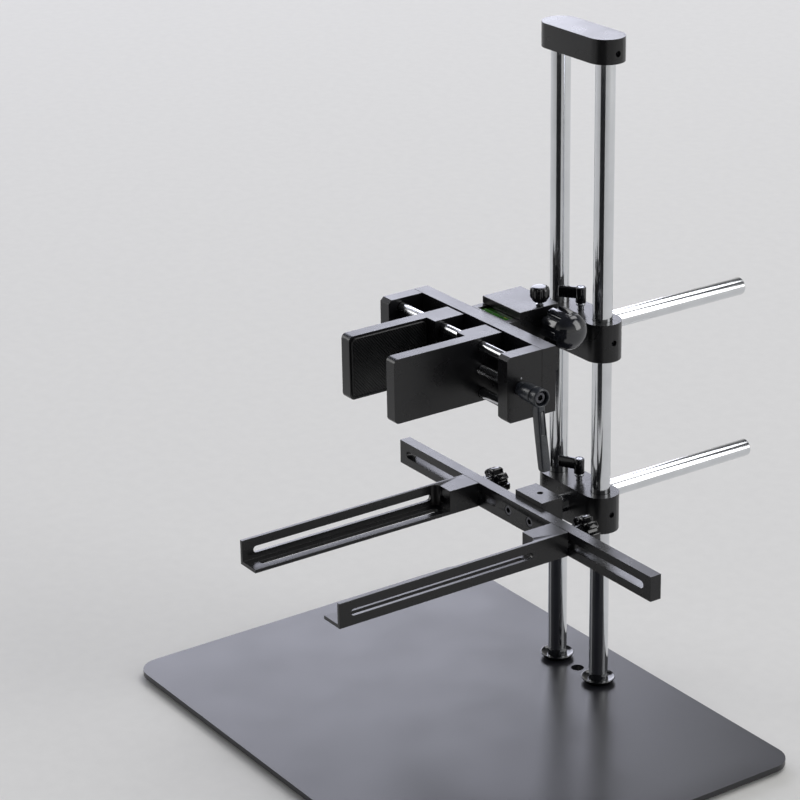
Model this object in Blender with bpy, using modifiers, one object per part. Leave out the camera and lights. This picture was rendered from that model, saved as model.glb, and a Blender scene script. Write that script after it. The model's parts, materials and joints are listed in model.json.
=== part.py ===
"""Twin-column camera stand with a screw clamp and a pair of slotted support arms.

Two chromed columns stand on a steel base plate. Each of two crossheads slides on
both columns and carries a horizontal rod. The upper rod ends in a levelling head
with a screw-driven clamp, the lower rod ends in a slotted crossbar with two arms.

Metres, +Z up. +X is to the right of someone facing the front, +Y is towards the back.
The origin is on the floor under the middle of the overall outline. Every y below is
measured from the column axes, and the stand's own empty carries the pieces back to
the origin.
"""
import bpy
import bmesh
from math import cos, sin, pi, radians, tau
from mathutils import Matrix, Vector

# Fits
GAP = 0.0003                    # between pieces that touch or run in each other
SCREW_GAP = 0.0003              # around every threaded or plain screw

# Base plate and feet
PLATE_WIDTH = 0.455
PLATE_DEPTH = 0.347
PLATE_THICKNESS = 0.005
PLATE_CORNER_RADIUS = 0.020
PLATE_REAR_OVERHANG = 0.0435    # from the column axes to the rear edge
CENTRE_HOLE_DIAMETER = 0.011
FOOT_DIAMETER = 0.020
FOOT_HEIGHT = 0.003
FOOT_INSET = 0.030

# Columns
COLUMN_DIAMETER = 0.016
COLUMN_SPACING = 0.0565
COLUMN_LENGTH = 0.554
COLUMN_CHAMFER = 0.0008
FLANGE_DIAMETER = 0.0285
FLANGE_HEIGHT = 0.004
FLANGE_RIM_WIDTH = 0.0016
FLANGE_DISH = 0.0010
BOLT_DIAMETER = 0.008
BOLT_HEAD_DIAMETER = 0.013
BOLT_HEAD_DEPTH = 0.0032
BOLT_LENGTH = 0.020
BOLT_SOCKET_WIDTH = 0.0052
BOLT_SOCKET_DEPTH = 0.0024

# Top cap and crossheads
SLEEVE_WALL = 0.0075            # metal around each column
CAP_HEIGHT = 0.020
CAP_SOCKET_DEPTH = 0.016
CROSSHEAD_ROOF = 0.0085         # metal above and below the horizontal rod
SET_SCREW_DIAMETER = 0.005
SET_SCREW_LENGTH = 0.0045
SET_SCREW_SOCKET_WIDTH = 0.0026
SET_SCREW_SOCKET_DEPTH = 0.0018

# Horizontal rods, heights above the base plate
ROD_DIAMETER = 0.015
ROD_LENGTH = 0.232
ROD_CHAMFER = 0.0010
UPPER_ROD_HEIGHT = 0.309
LOWER_ROD_HEIGHT = 0.1585
UPPER_ROD_FRONT = -0.062        # y of the front end of the upper rod
LOWER_ROD_FRONT = -0.050        # y of the front end of the lower rod

# L-shaped thumb screws on the crossheads
STUD_DIAMETER = 0.005
STUD_SHOWING = 0.0062
HANDLE_HUB_DIAMETER = 0.0086
HANDLE_HUB_HEIGHT = 0.0135
STUD_IN_HANDLE = 0.0101
HANDLE_WING_THICKNESS = 0.0046
HANDLE_WING_HEIGHT = 0.0100
HANDLE_COLUMN_CLEARANCE = 0.0012
UPPER_HANDLE_TURN = radians(217)
LOWER_HANDLE_TURN = radians(207)

# Levelling head
HEAD_WIDTH = 0.050
HEAD_DEPTH = 0.049
HEAD_BELOW_ROD = 0.018
HEAD_ABOVE_ROD = 0.032
HEAD_SOCKET_DEPTH = 0.020
HEAD_SLIT_WIDTH = 0.0020
HEAD_SLIT_BEYOND_ROD = 0.003
LEVEL_LENGTH = 0.036
LEVEL_WIDTH = 0.0110            # its rear edge runs in under the top plate
LEVEL_HEIGHT = 0.0076
LEVEL_DROP = 0.0012             # from the head's top to the vial's top
LEVEL_CORNER_RADIUS = 0.0016
LEVEL_FROM_FRONT = 0.0075
TOP_PLATE_DEPTH = 0.038
TOP_PLATE_THICKNESS = 0.006
HEAD_KNOB_RISE = 0.024          # knob axis above the rod axis
HEAD_KNOB_FROM_REAR = 0.0085
HEAD_KNOB_DIAMETER = 0.031
HEAD_KNOB_FLUTES = 9
HEAD_KNOB_FLUTE_DEPTH = 0.0010
HEAD_KNOB_GRIP_LENGTH = 0.016
HEAD_KNOB_DOME_LENGTH = 0.0150
HEAD_KNOB_NECK_DIAMETER = 0.014
HEAD_KNOB_NECK_LENGTH = 0.006
HEAD_STUD_DIAMETER = 0.006
HEAD_STUD_IN_KNOB = 0.012
HEAD_STUD_IN_HEAD = 0.032
LOCK_KNOB_DIAMETER = 0.0158
LOCK_KNOB_HEIGHT = 0.0127
LOCK_KNOB_FLUTES = 9
LOCK_KNOB_FLUTE_DEPTH = 0.0006
LOCK_KNOB_FROM_SIDE = 0.0048
LOCK_KNOB_SETBACK = 0.004       # behind the middle of the top plate
LOCK_STUD_DIAMETER = 0.004
LOCK_STUD_SHOWING = 0.0032
LOCK_STUD_IN_HEAD = 0.004

# Screw clamp
FRAME_WIDTH = 0.1714
FRAME_HEIGHT = 0.054
BACK_BAR_THICKNESS = 0.013
END_PLATE_THICKNESS = 0.012
END_PLATE_DEPTH = 0.033
END_PLATE_EDGE_CHAMFER = 0.0030
GUIDE_ROD_DIAMETER = 0.008
GUIDE_ROD_FROM_EDGE = 0.0075    # from the frame's top or bottom to the rod's axis
GUIDE_ROD_SEAT = 0.008
LEAD_SCREW_DIAMETER = 0.008
LEAD_SCREW_FROM_FRONT = 0.0125
JAW_LENGTH = 0.1015
JAW_REAR_CLEARANCE = 0.0020
JAW_HEIGHT_CLEARANCE = 0.0005
JAW_BLOCK_WIDTH = 0.0217
JAW_BLOCK_DEPTH = 0.0275
JAW_PADDLE_THICKNESS = 0.0107
JAW_CORNER_RADIUS = 0.0040
JAW_BORE_CLEARANCE = 0.0004
JAW_OPENING = 0.0292            # between the two guide blocks
PAD_THICKNESS = 0.0026
PAD_POCKET_DEPTH = 0.0010
PAD_MARGIN = 0.0014
PAD_CORNER_RADIUS = 0.0042
FRAME_SCREW_HEAD_DIAMETER = 0.0085
FRAME_SCREW_HEAD_HEIGHT = 0.0050
FRAME_SCREW_DIAMETER = 0.005
FRAME_SCREW_LENGTH = 0.020
FRAME_SCREW_SOCKET_WIDTH = 0.0042
FRAME_SCREW_SOCKET_DEPTH = 0.0028
FRAME_SCREW_RISE = 0.012        # from the middle of the frame's height
HEAD_SCREW_SPACING = 0.024

# Clamping lever on the lead screw
LEVER_HUB_LENGTH = 0.027
LEVER_HUB_DIAMETER = 0.0150
LEVER_NECK_DIAMETER = 0.0116
LEVER_NECK_LENGTH = 0.0060
LEVER_SHOULDER_DIAMETER = 0.0140
LEVER_SHOULDER_LENGTH = 0.0020
LEVER_RECESS_DIAMETER = 0.0116
LEVER_RECESS_DEPTH = 0.0070
LEVER_REACH = 0.058             # from the screw axis to the tip of the arm
LEVER_LEAN = 0.0070             # how far the tip stands further out than the hub
LEVER_ARM_WIDTH = 0.0082
LEVER_ROOT_THICKNESS = 0.0100
LEVER_ROOT_DROP = 0.0045        # from the screw axis to the top of the arm
LEVER_ROOT_HEIGHT = 0.0075      # inner side of the root
LEVER_FACE_START = 0.00525      # from the top of the arm to its leaning face
LEVER_TIP_THICKNESS = 0.0058
LEVER_TIP_CHAMFER = 0.0010
LEVER_PANEL_WIDTH = 0.0044
LEVER_PANEL_DEPTH = 0.0006
LEVER_PANEL_START = 0.011
LEVER_PANEL_END = 0.029
LEVER_SCREW_HEAD_DIAMETER = 0.0086
LEVER_SCREW_HEAD_HEIGHT = 0.0045

# Lower bracket
BRACKET_WIDTH = 0.036
BRACKET_DEPTH = 0.0214
BRACKET_HEIGHT = 0.030
BRACKET_SOCKET_DEPTH = 0.019
CROSSBAR_LENGTH = 0.341
CROSSBAR_THICKNESS = 0.0102
CROSSBAR_HEIGHT = 0.0212
CROSSBAR_SLOT_HEIGHT = 0.0066
CROSSBAR_SLOT_INNER = 0.031     # from the middle to the inner end of each slot
CROSSBAR_SLOT_MARGIN = 0.009    # from the bar's end to the outer end of each slot
CROSSBAR_SCREW_SPACING = 0.0288
CROSSBAR_SCREW_LENGTH = 0.015

# Support arms
ARM_LENGTH = 0.2195
ARM_SECTION_THICKNESS = 0.003
ARM_FLANGE_WIDTH = 0.0222
ARM_BLOCK_DEPTH = 0.0293
ARM_BLOCK_FILLET = 0.0060
ARM_SLOT_WIDTH = 0.0056
ARM_SLOT_MARGIN = 0.0105
LEFT_ARM_OUTER = 0.077          # from the middle of the stand to the outer wall
RIGHT_ARM_OUTER = 0.067
STAR_KNOB_DIAMETER = 0.027
STAR_KNOB_LOBES = 8
STAR_KNOB_LOBE_DEPTH = 0.0016
STAR_KNOB_THICKNESS = 0.0110
STAR_COLLAR_DIAMETER = 0.013
STAR_COLLAR_LENGTH = 0.0105
STAR_STUD_DIAMETER = 0.0056
STAR_STUD_IN_ARM = 0.018

# Facets round each kind of curve
LARGE_SEGMENTS = 40
MEDIUM_SEGMENTS = 24
SMALL_SEGMENTS = 16

# Width across a hexagon's corners over its width across flats
HEXAGON = 2 / 3 ** 0.5

# Places worked out from the sizes
COLUMN_SETBACK = (PLATE_DEPTH - PLATE_REAR_OVERHANG - LOWER_ROD_FRONT - ROD_LENGTH) / 2
PLATE_TOP = FOOT_HEIGHT + PLATE_THICKNESS
PLATE_CENTRE_Y = PLATE_REAR_OVERHANG - PLATE_DEPTH / 2
COLUMN_X = COLUMN_SPACING / 2
COLUMN_BOTTOM = PLATE_TOP + GAP
COLUMN_TOP = COLUMN_BOTTOM + COLUMN_LENGTH
SLEEVE_RADIUS = COLUMN_DIAMETER / 2 + SLEEVE_WALL
SLEEVE_END_X = COLUMN_X + SLEEVE_RADIUS
CAP_BOTTOM = COLUMN_TOP + GAP - CAP_SOCKET_DEPTH
CROSSHEAD_HEIGHT = ROD_DIAMETER + 2 * CROSSHEAD_ROOF
UPPER_ROD_Z = PLATE_TOP + UPPER_ROD_HEIGHT
LOWER_ROD_Z = PLATE_TOP + LOWER_ROD_HEIGHT
HANDLE_REACH = COLUMN_X - COLUMN_DIAMETER / 2 - HANDLE_COLUMN_CLEARANCE

HEAD_REAR_Y = UPPER_ROD_FRONT + HEAD_SOCKET_DEPTH
HEAD_FRONT_Y = HEAD_REAR_Y - HEAD_DEPTH
HEAD_BOTTOM = UPPER_ROD_Z - HEAD_BELOW_ROD
HEAD_TOP = UPPER_ROD_Z + HEAD_ABOVE_ROD
TOP_PLATE_BOTTOM = HEAD_TOP + GAP
TOP_PLATE_TOP = TOP_PLATE_BOTTOM + TOP_PLATE_THICKNESS
HEAD_KNOB_Y = HEAD_REAR_Y - HEAD_KNOB_FROM_REAR
HEAD_KNOB_Z = UPPER_ROD_Z + HEAD_KNOB_RISE
LOCK_KNOB_X = HEAD_WIDTH / 2 - LOCK_KNOB_FROM_SIDE
LOCK_KNOB_Y = HEAD_REAR_Y - TOP_PLATE_DEPTH / 2 + LOCK_KNOB_SETBACK
LEVEL_Y = HEAD_FRONT_Y + LEVEL_FROM_FRONT

BAR_REAR_Y = HEAD_FRONT_Y - GAP
BAR_FRONT_Y = BAR_REAR_Y - BACK_BAR_THICKNESS
END_REAR_Y = BAR_FRONT_Y - GAP
END_FRONT_Y = END_REAR_Y - END_PLATE_DEPTH
END_OUTER_X = FRAME_WIDTH / 2
END_INNER_X = END_OUTER_X - END_PLATE_THICKNESS
FRAME_TOP = HEAD_TOP
FRAME_MIDDLE = FRAME_TOP - FRAME_HEIGHT / 2
GUIDE_ROD_OFFSET = FRAME_HEIGHT / 2 - GUIDE_ROD_FROM_EDGE
LEAD_SCREW_Y = END_FRONT_Y + LEAD_SCREW_FROM_FRONT
GUIDE_ROD_END_X = END_INNER_X + GUIDE_ROD_SEAT

JAW_REAR_Y = BAR_FRONT_Y - JAW_REAR_CLEARANCE
JAW_FRONT_Y = JAW_REAR_Y - JAW_LENGTH
JAW_BLOCK_FRONT_Y = JAW_REAR_Y - JAW_BLOCK_DEPTH
JAW_HEIGHT = FRAME_HEIGHT - 2 * JAW_HEIGHT_CLEARANCE
JAW_INNER_X = JAW_OPENING / 2
JAW_OUTER_X = JAW_INNER_X + JAW_BLOCK_WIDTH
JAW_FACE_X = JAW_OUTER_X - JAW_PADDLE_THICKNESS

LEVER_BASE_X = END_OUTER_X + GAP
LEVER_END_X = LEVER_BASE_X + LEVER_HUB_LENGTH
LEVER_RECESS_X = LEVER_END_X - LEVER_RECESS_DEPTH

BRACKET_REAR_Y = LOWER_ROD_FRONT + BRACKET_SOCKET_DEPTH
BRACKET_FRONT_Y = BRACKET_REAR_Y - BRACKET_DEPTH
CROSSBAR_REAR_Y = BRACKET_FRONT_Y - GAP
CROSSBAR_FRONT_Y = CROSSBAR_REAR_Y - CROSSBAR_THICKNESS
CROSSBAR_CENTRE_Y = (CROSSBAR_REAR_Y + CROSSBAR_FRONT_Y) / 2
CROSSBAR_SLOT_OUTER = CROSSBAR_LENGTH / 2 - CROSSBAR_SLOT_MARGIN

ARM_REAR_Y = CROSSBAR_FRONT_Y - GAP
ARM_TIP_Y = ARM_REAR_Y - ARM_LENGTH
ARM_BLOCK_FRONT_Y = ARM_REAR_Y - ARM_BLOCK_DEPTH
ARM_BOTTOM = LOWER_ROD_Z - CROSSBAR_HEIGHT / 2
ARM_STUD_INSET = ARM_FLANGE_WIDTH / 2

# Colour, metallic and roughness of each finish
FINISHES = {
    "black_anodised": ("#26262A", 0.6, 0.42),
    "plate_coating": ("#3A3B42", 0.4, 0.45),
    "chrome": ("#D8DADD", 1.0, 0.08),
    "black_steel": ("#1C1C1F", 0.8, 0.30),
    "glossy_plastic": ("#0B0B0D", 0.0, 0.18),
    "die_cast_black": ("#2A2D33", 0.3, 0.40),
    "black_rubber": ("#0E0E0F", 0.0, 0.80),
    "green_vial": ("#3F8A1E", 0.0, 0.10),
}

# Turns a shape drawn along Z so that it lies along the named axis
ALONG = {
    "X": Matrix.Rotation(pi / 2, 4, "Y"),
    "Y": Matrix.Rotation(-pi / 2, 4, "X"),
    "Z": Matrix.Identity(4),
}

# Turns a flat outline into the named plane: (first, second) become those two axes
PLANE = {
    "XY": Matrix.Identity(4),
    "XZ": Matrix.Rotation(pi / 2, 4, "X"),
    "YZ": Matrix(((0, 0, 1, 0), (1, 0, 0, 0), (0, 1, 0, 0), (0, 0, 0, 1))),
}


# Scene

def clear_scene():
    for item in list(bpy.data.objects):
        bpy.data.objects.remove(item, do_unlink=True)


def new_collection(name):
    collection = bpy.data.collections.new(name)
    bpy.context.scene.collection.children.link(collection)
    return collection


def linear(channel):
    return channel / 12.92 if channel <= 0.04045 else ((channel + 0.055) / 1.055) ** 2.4


def material_for(name, finish):
    hex_colour, metallic, roughness = FINISHES[finish]
    channels = [linear(int(hex_colour[i:i + 2], 16) / 255) for i in (1, 3, 5)]
    material = bpy.data.materials.new(name + "_" + finish)
    material.use_nodes = True
    shader = material.node_tree.nodes["Principled BSDF"]
    shader.inputs["Base Color"].default_value = (*channels, 1)
    shader.inputs["Metallic"].default_value = metallic
    shader.inputs["Roughness"].default_value = roughness
    return material


# Shape makers

def put(name, mesh, centre, finish=None):
    """A part when it has a finish, otherwise a hidden cutter or a shape to join."""
    item = bpy.data.objects.new(name, mesh)
    item.location = centre
    if finish:
        PARTS.objects.link(item)
        mesh.materials.append(material_for(name, finish))
        return item
    CUTTERS.objects.link(item)
    item.hide_render = True
    item.display_type = "WIRE"
    return item


def finish_mesh(bm, name, matrix=None):
    bmesh.ops.recalc_face_normals(bm, faces=bm.faces)
    if matrix:
        bm.transform(matrix)
    mesh = bpy.data.meshes.new(name)
    bm.to_mesh(mesh)
    bm.free()
    return mesh


def box(name, size, centre, finish=None):
    bm = bmesh.new()
    bmesh.ops.create_cube(bm, size=1, matrix=Matrix.Diagonal((*size, 1)))
    return put(name, finish_mesh(bm, name), centre, finish)


def box_between(name, low, high, finish=None):
    low, high = Vector(low), Vector(high)
    return box(name, high - low, (low + high) / 2, finish)


def cylinder(name, diameter, length, centre, axis, segments, finish=None):
    # Turned half a facet, so that no edge lies on a plane of symmetry.
    bm = bmesh.new()
    bmesh.ops.create_cone(bm, cap_ends=True, cap_tris=False, segments=segments,
                          radius1=diameter / 2, radius2=diameter / 2, depth=length,
                          matrix=Matrix.Rotation(pi / segments, 4, "Z"))
    return put(name, finish_mesh(bm, name, ALONG[axis]), centre, finish)


def cylinder_between(name, diameter, start, end, axis, segments, finish=None):
    start, end = Vector(start), Vector(end)
    length = (end - start).length
    return cylinder(name, diameter, length, (start + end) / 2, axis, segments, finish)


def turned(name, profile, centre, axis, segments, finish=None):
    """Profile points are (radius, height), from the top of the axis to its bottom."""
    mesh = bpy.data.meshes.new(name)
    points = [(radius, 0, height) for radius, height in profile]
    mesh.from_pydata(points, [(i, i + 1) for i in range(len(points) - 1)], [])
    item = put(name, mesh, centre, finish)
    item.rotation_euler = ALONG[axis].to_euler()
    screw = item.modifiers.new("Turn", "SCREW")
    screw.axis = "Z"
    screw.steps = segments
    screw.render_steps = segments
    screw.use_merge_vertices = True
    screw.merge_threshold = 0.00001
    return item


def prism(name, outline, plane, start, end, finish=None, at=(0, 0, 0)):
    """A flat outline about at in the named plane, thick from start to end across it."""
    curve = bpy.data.curves.new(name, "CURVE")
    curve.dimensions = "2D"
    curve.fill_mode = "BOTH"
    curve.extrude = abs(end - start) / 2
    spline = curve.splines.new("POLY")
    spline.points.add(len(outline) - 1)
    for point, (first, second) in zip(spline.points, outline):
        point.co = (first, second, 0, 1)
    spline.use_cyclic_u = True
    holder = bpy.data.objects.new(name + "_outline", curve)
    bpy.context.scene.collection.objects.link(holder)
    depsgraph = bpy.context.evaluated_depsgraph_get()
    flat = bpy.data.meshes.new_from_object(holder.evaluated_get(depsgraph))
    bpy.data.objects.remove(holder)
    bm = bmesh.new()
    bm.from_mesh(flat)
    bmesh.ops.remove_doubles(bm, verts=bm.verts, dist=0.00001)
    bpy.data.meshes.remove(flat)
    across = {"XY": (0, 0, 1), "XZ": (0, 1, 0), "YZ": (1, 0, 0)}[plane]
    centre = Vector(at) + Vector(across) * (start + end) / 2
    return put(name, finish_mesh(bm, name, PLANE[plane]), centre, finish)


def boolean(item, other, operation):
    modifier = item.modifiers.new(other.name, "BOOLEAN")
    modifier.operation = operation
    modifier.solver = "EXACT"
    modifier.object = other
    other.parent = item
    other.matrix_parent_inverse = item.matrix_basis.inverted()


def cut(item, *cutters):
    for cutter in cutters:
        boolean(item, cutter, "DIFFERENCE")


def join(item, *others):
    for other in others:
        boolean(item, other, "UNION")


def smooth(*items):
    for item in items:
        item.data.shade_smooth()
        item.data.set_sharp_from_angle(angle=radians(35))


# Outlines

def arc(centre, radius, start, end, steps):
    """Points along an arc, angles in radians."""
    angles = [start + (end - start) * i / steps for i in range(steps + 1)]
    return [(centre[0] + radius * cos(a), centre[1] + radius * sin(a)) for a in angles]


def stadium(half_span, radius, steps=LARGE_SEGMENTS // 2):
    """Two half circles joined by straight sides, long way along the first axis."""
    right = arc((half_span, 0), radius, -pi / 2, pi / 2, steps)
    left = arc((-half_span, 0), radius, pi / 2, 3 * pi / 2, steps)
    return right + left


def rounded_rectangle(low, high, radii, steps):
    """Corner radii run anticlockwise from the low corner; a zero keeps it square."""
    corners = (
        (low[0], low[1], 1, 1, pi),
        (high[0], low[1], -1, 1, 3 * pi / 2),
        (high[0], high[1], -1, -1, 0),
        (low[0], high[1], 1, -1, pi / 2),
    )
    outline = []
    for (x, y, inward_x, inward_y, start), radius in zip(corners, radii):
        if radius == 0:
            outline.append((x, y))
            continue
        centre = (x + inward_x * radius, y + inward_y * radius)
        outline += arc(centre, radius, start, start + pi / 2, steps)
    return outline


def fluted(diameter, depth, flutes, steps_per_flute=4):
    """A round outline whose edge waves in and out once for each flute."""
    count = flutes * steps_per_flute
    outline = []
    for i in range(count):
        angle = tau * i / count
        radius = diameter / 2 - depth * (1 - cos(flutes * angle)) / 2
        outline.append((radius * cos(angle), radius * sin(angle)))
    return outline


def moved(outline, first, second):
    return [(a + first, b + second) for a, b in outline]


# Screws

def socket_screw(name, head, head_height, shank, length, socket, at, axis, outward):
    """A cap screw; at is the outer face of its head, outward is +1 or -1 on the axis."""
    unit = Vector({"X": (1, 0, 0), "Y": (0, 1, 0), "Z": (0, 0, 1)}[axis]) * outward
    at = Vector(at)
    screw = cylinder_between(name, head, at, at - unit * head_height, axis,
                             MEDIUM_SEGMENTS, "black_steel")
    under_head = at - unit * head_height / 2
    tip = at - unit * (head_height + length)
    join(screw, cylinder_between(name + "_shank", shank, under_head, tip, axis,
                                 SMALL_SEGMENTS))
    width, depth = socket
    cut(screw, cylinder_between(name + "_socket", width * HEXAGON, at + unit * GAP,
                                at - unit * depth, axis, 6))
    smooth(screw)
    return screw


def set_screw(name, at, axis, outward):
    """A headless screw; at is its outer face."""
    unit = Vector({"X": (1, 0, 0), "Z": (0, 0, 1)}[axis]) * outward
    at = Vector(at)
    screw = cylinder_between(name, SET_SCREW_DIAMETER - 2 * SCREW_GAP, at,
                             at - unit * SET_SCREW_LENGTH, axis, SMALL_SEGMENTS,
                             "black_steel")
    cut(screw, cylinder_between(name + "_socket", SET_SCREW_SOCKET_WIDTH * HEXAGON,
                                at + unit * GAP, at - unit * SET_SCREW_SOCKET_DEPTH,
                                axis, 6))
    smooth(screw)
    return screw


# Base

def base_plate():
    low = (-PLATE_WIDTH / 2, PLATE_CENTRE_Y - PLATE_DEPTH / 2)
    high = (PLATE_WIDTH / 2, PLATE_CENTRE_Y + PLATE_DEPTH / 2)
    outline = rounded_rectangle(low, high, [PLATE_CORNER_RADIUS] * 4, 8)
    plate = prism("base_plate", outline, "XY", FOOT_HEIGHT, PLATE_TOP, "plate_coating")
    below, above = FOOT_HEIGHT - GAP, PLATE_TOP + GAP
    cut(plate, cylinder_between("centre_hole", CENTRE_HOLE_DIAMETER, (0, 0, below),
                                (0, 0, above), "Z", MEDIUM_SEGMENTS))
    for side, x in (("left", -COLUMN_X), ("right", COLUMN_X)):
        cut(plate, bolt_cutter("bolt_seat_" + side, x))
    return plate


def bolt_profile(grow, top, bottom):
    """Countersunk bolt, head down; grow widens it into the cutter of its seat."""
    head = BOLT_HEAD_DIAMETER / 2 + grow
    shank = BOLT_DIAMETER / 2 - SCREW_GAP + grow
    cone_top = FOOT_HEIGHT + BOLT_HEAD_DEPTH
    return [(0, top), (shank, top), (shank, cone_top), (head, FOOT_HEIGHT + GAP),
            (head, bottom), (0, bottom)]


def bolt_cutter(name, x):
    profile = bolt_profile(2 * SCREW_GAP, PLATE_TOP + GAP, FOOT_HEIGHT - GAP)
    return turned(name, profile, (x, 0, 0), "Z", MEDIUM_SEGMENTS)


def column_bolt(side, x):
    name = "column_bolt_" + side
    bolt = turned(name, bolt_profile(0, COLUMN_BOTTOM + BOLT_LENGTH, FOOT_HEIGHT),
                  (x, 0, 0), "Z", MEDIUM_SEGMENTS, "black_steel")
    cut(bolt, cylinder_between(name + "_socket", BOLT_SOCKET_WIDTH * HEXAGON,
                               (x, 0, FOOT_HEIGHT - GAP),
                               (x, 0, FOOT_HEIGHT + BOLT_SOCKET_DEPTH), "Z", 6))
    return bolt


def foot(name, x, y):
    return cylinder_between(name, FOOT_DIAMETER, (x, y, 0), (x, y, FOOT_HEIGHT - GAP),
                            "Z", MEDIUM_SEGMENTS, "black_rubber")


def feet():
    reach_x = PLATE_WIDTH / 2 - FOOT_INSET
    reach_y = PLATE_DEPTH / 2 - FOOT_INSET
    for end, side_y in (("front", -1), ("rear", 1)):
        for side, side_x in (("left", -1), ("right", 1)):
            item = foot("foot_%s_%s" % (end, side), side_x * reach_x,
                        PLATE_CENTRE_Y + side_y * reach_y)
            smooth(item)


def column(side, x):
    radius = COLUMN_DIAMETER / 2
    edge = radius - COLUMN_CHAMFER
    profile = [(0, COLUMN_LENGTH), (edge, COLUMN_LENGTH),
               (radius, COLUMN_LENGTH - COLUMN_CHAMFER), (radius, COLUMN_CHAMFER),
               (edge, 0), (0, 0)]
    item = turned("column_" + side, profile, (x, 0, COLUMN_BOTTOM), "Z", LARGE_SEGMENTS,
                  "chrome")
    bore_top = COLUMN_BOTTOM + BOLT_LENGTH + 4 * GAP
    cut(item, cylinder_between("column_bore_" + side, BOLT_DIAMETER,
                               (x, 0, COLUMN_BOTTOM - GAP), (x, 0, bore_top), "Z",
                               MEDIUM_SEGMENTS))
    return item


def column_flange(side, x):
    radius = FLANGE_DIAMETER / 2
    dish = FLANGE_HEIGHT - FLANGE_DISH
    rim = radius - FLANGE_RIM_WIDTH
    profile = [(0, dish), (rim - FLANGE_DISH, dish), (rim, FLANGE_HEIGHT),
               (radius - FLANGE_DISH / 2, FLANGE_HEIGHT),
               (radius, FLANGE_HEIGHT - FLANGE_DISH / 2), (radius, 0), (0, 0)]
    item = turned("column_flange_" + side, profile, (x, 0, COLUMN_BOTTOM), "Z",
                  LARGE_SEGMENTS, "glossy_plastic")
    cut(item, cylinder_between("flange_bore_" + side, COLUMN_DIAMETER + 2 * GAP,
                               (x, 0, PLATE_TOP), (x, 0, PLATE_TOP + 2 * FLANGE_HEIGHT),
                               "Z", LARGE_SEGMENTS))
    return item


# Top cap and crossheads

def set_screw_hole(name, side, z):
    """A hole along X from the end of a sleeve into the bore of its column."""
    return cylinder_between(name, SET_SCREW_DIAMETER, (side * COLUMN_X, 0, z),
                            (side * (SLEEVE_END_X + GAP), 0, z), "X", SMALL_SEGMENTS)


def sleeve_set_screw(name, side, z):
    inner = COLUMN_X + COLUMN_DIAMETER / 2 + GAP
    return set_screw(name, (side * (inner + SET_SCREW_LENGTH), 0, z), "X", side)


def top_cap():
    top = CAP_BOTTOM + CAP_HEIGHT
    cap = prism("top_cap", stadium(COLUMN_X, SLEEVE_RADIUS), "XY", CAP_BOTTOM, top,
                "black_anodised")
    screw_z = CAP_BOTTOM + CAP_SOCKET_DEPTH / 2
    for side, x in (("left", -1), ("right", 1)):
        cut(cap, cylinder_between("cap_socket_" + side, COLUMN_DIAMETER + 2 * GAP,
                                  (x * COLUMN_X, 0, CAP_BOTTOM - GAP),
                                  (x * COLUMN_X, 0, CAP_BOTTOM + CAP_SOCKET_DEPTH), "Z",
                                  LARGE_SEGMENTS))
        cut(cap, set_screw_hole("cap_screw_hole_" + side, x, screw_z))
        sleeve_set_screw("cap_set_screw_" + side, x, screw_z)
    smooth(cap)


def crosshead(level, rod_z):
    low, high = rod_z - CROSSHEAD_HEIGHT / 2, rod_z + CROSSHEAD_HEIGHT / 2
    head = prism(level + "_crosshead", stadium(COLUMN_X, SLEEVE_RADIUS), "XY", low, high,
                 "black_anodised")
    for side, x in (("left", -1), ("right", 1)):
        cut(head, cylinder_between(level + "_column_bore_" + side,
                                   COLUMN_DIAMETER + 2 * GAP,
                                   (x * COLUMN_X, 0, low - GAP),
                                   (x * COLUMN_X, 0, high + GAP), "Z", LARGE_SEGMENTS))
        cut(head, set_screw_hole(level + "_screw_hole_" + side, x, rod_z))
        sleeve_set_screw("%s_set_screw_%s" % (level, side), x, rod_z)
    cut(head, cylinder_between(level + "_rod_bore", ROD_DIAMETER + 2 * GAP,
                               (0, -SLEEVE_RADIUS - GAP, rod_z),
                               (0, SLEEVE_RADIUS + GAP, rod_z), "Y", LARGE_SEGMENTS))
    cut(head, cylinder_between(level + "_stud_hole", STUD_DIAMETER + 2 * SCREW_GAP,
                               (0, 0, rod_z), (0, 0, high + GAP), "Z", SMALL_SEGMENTS))
    smooth(head)


def horizontal_rod(level, front_y, z):
    radius = ROD_DIAMETER / 2
    edge = radius - ROD_CHAMFER
    profile = [(0, ROD_LENGTH), (edge, ROD_LENGTH), (radius, ROD_LENGTH - ROD_CHAMFER),
               (radius, ROD_CHAMFER), (edge, 0), (0, 0)]
    return turned(level + "_rod", profile, (0, front_y, z), "Y", LARGE_SEGMENTS,
                  "chrome")


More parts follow.
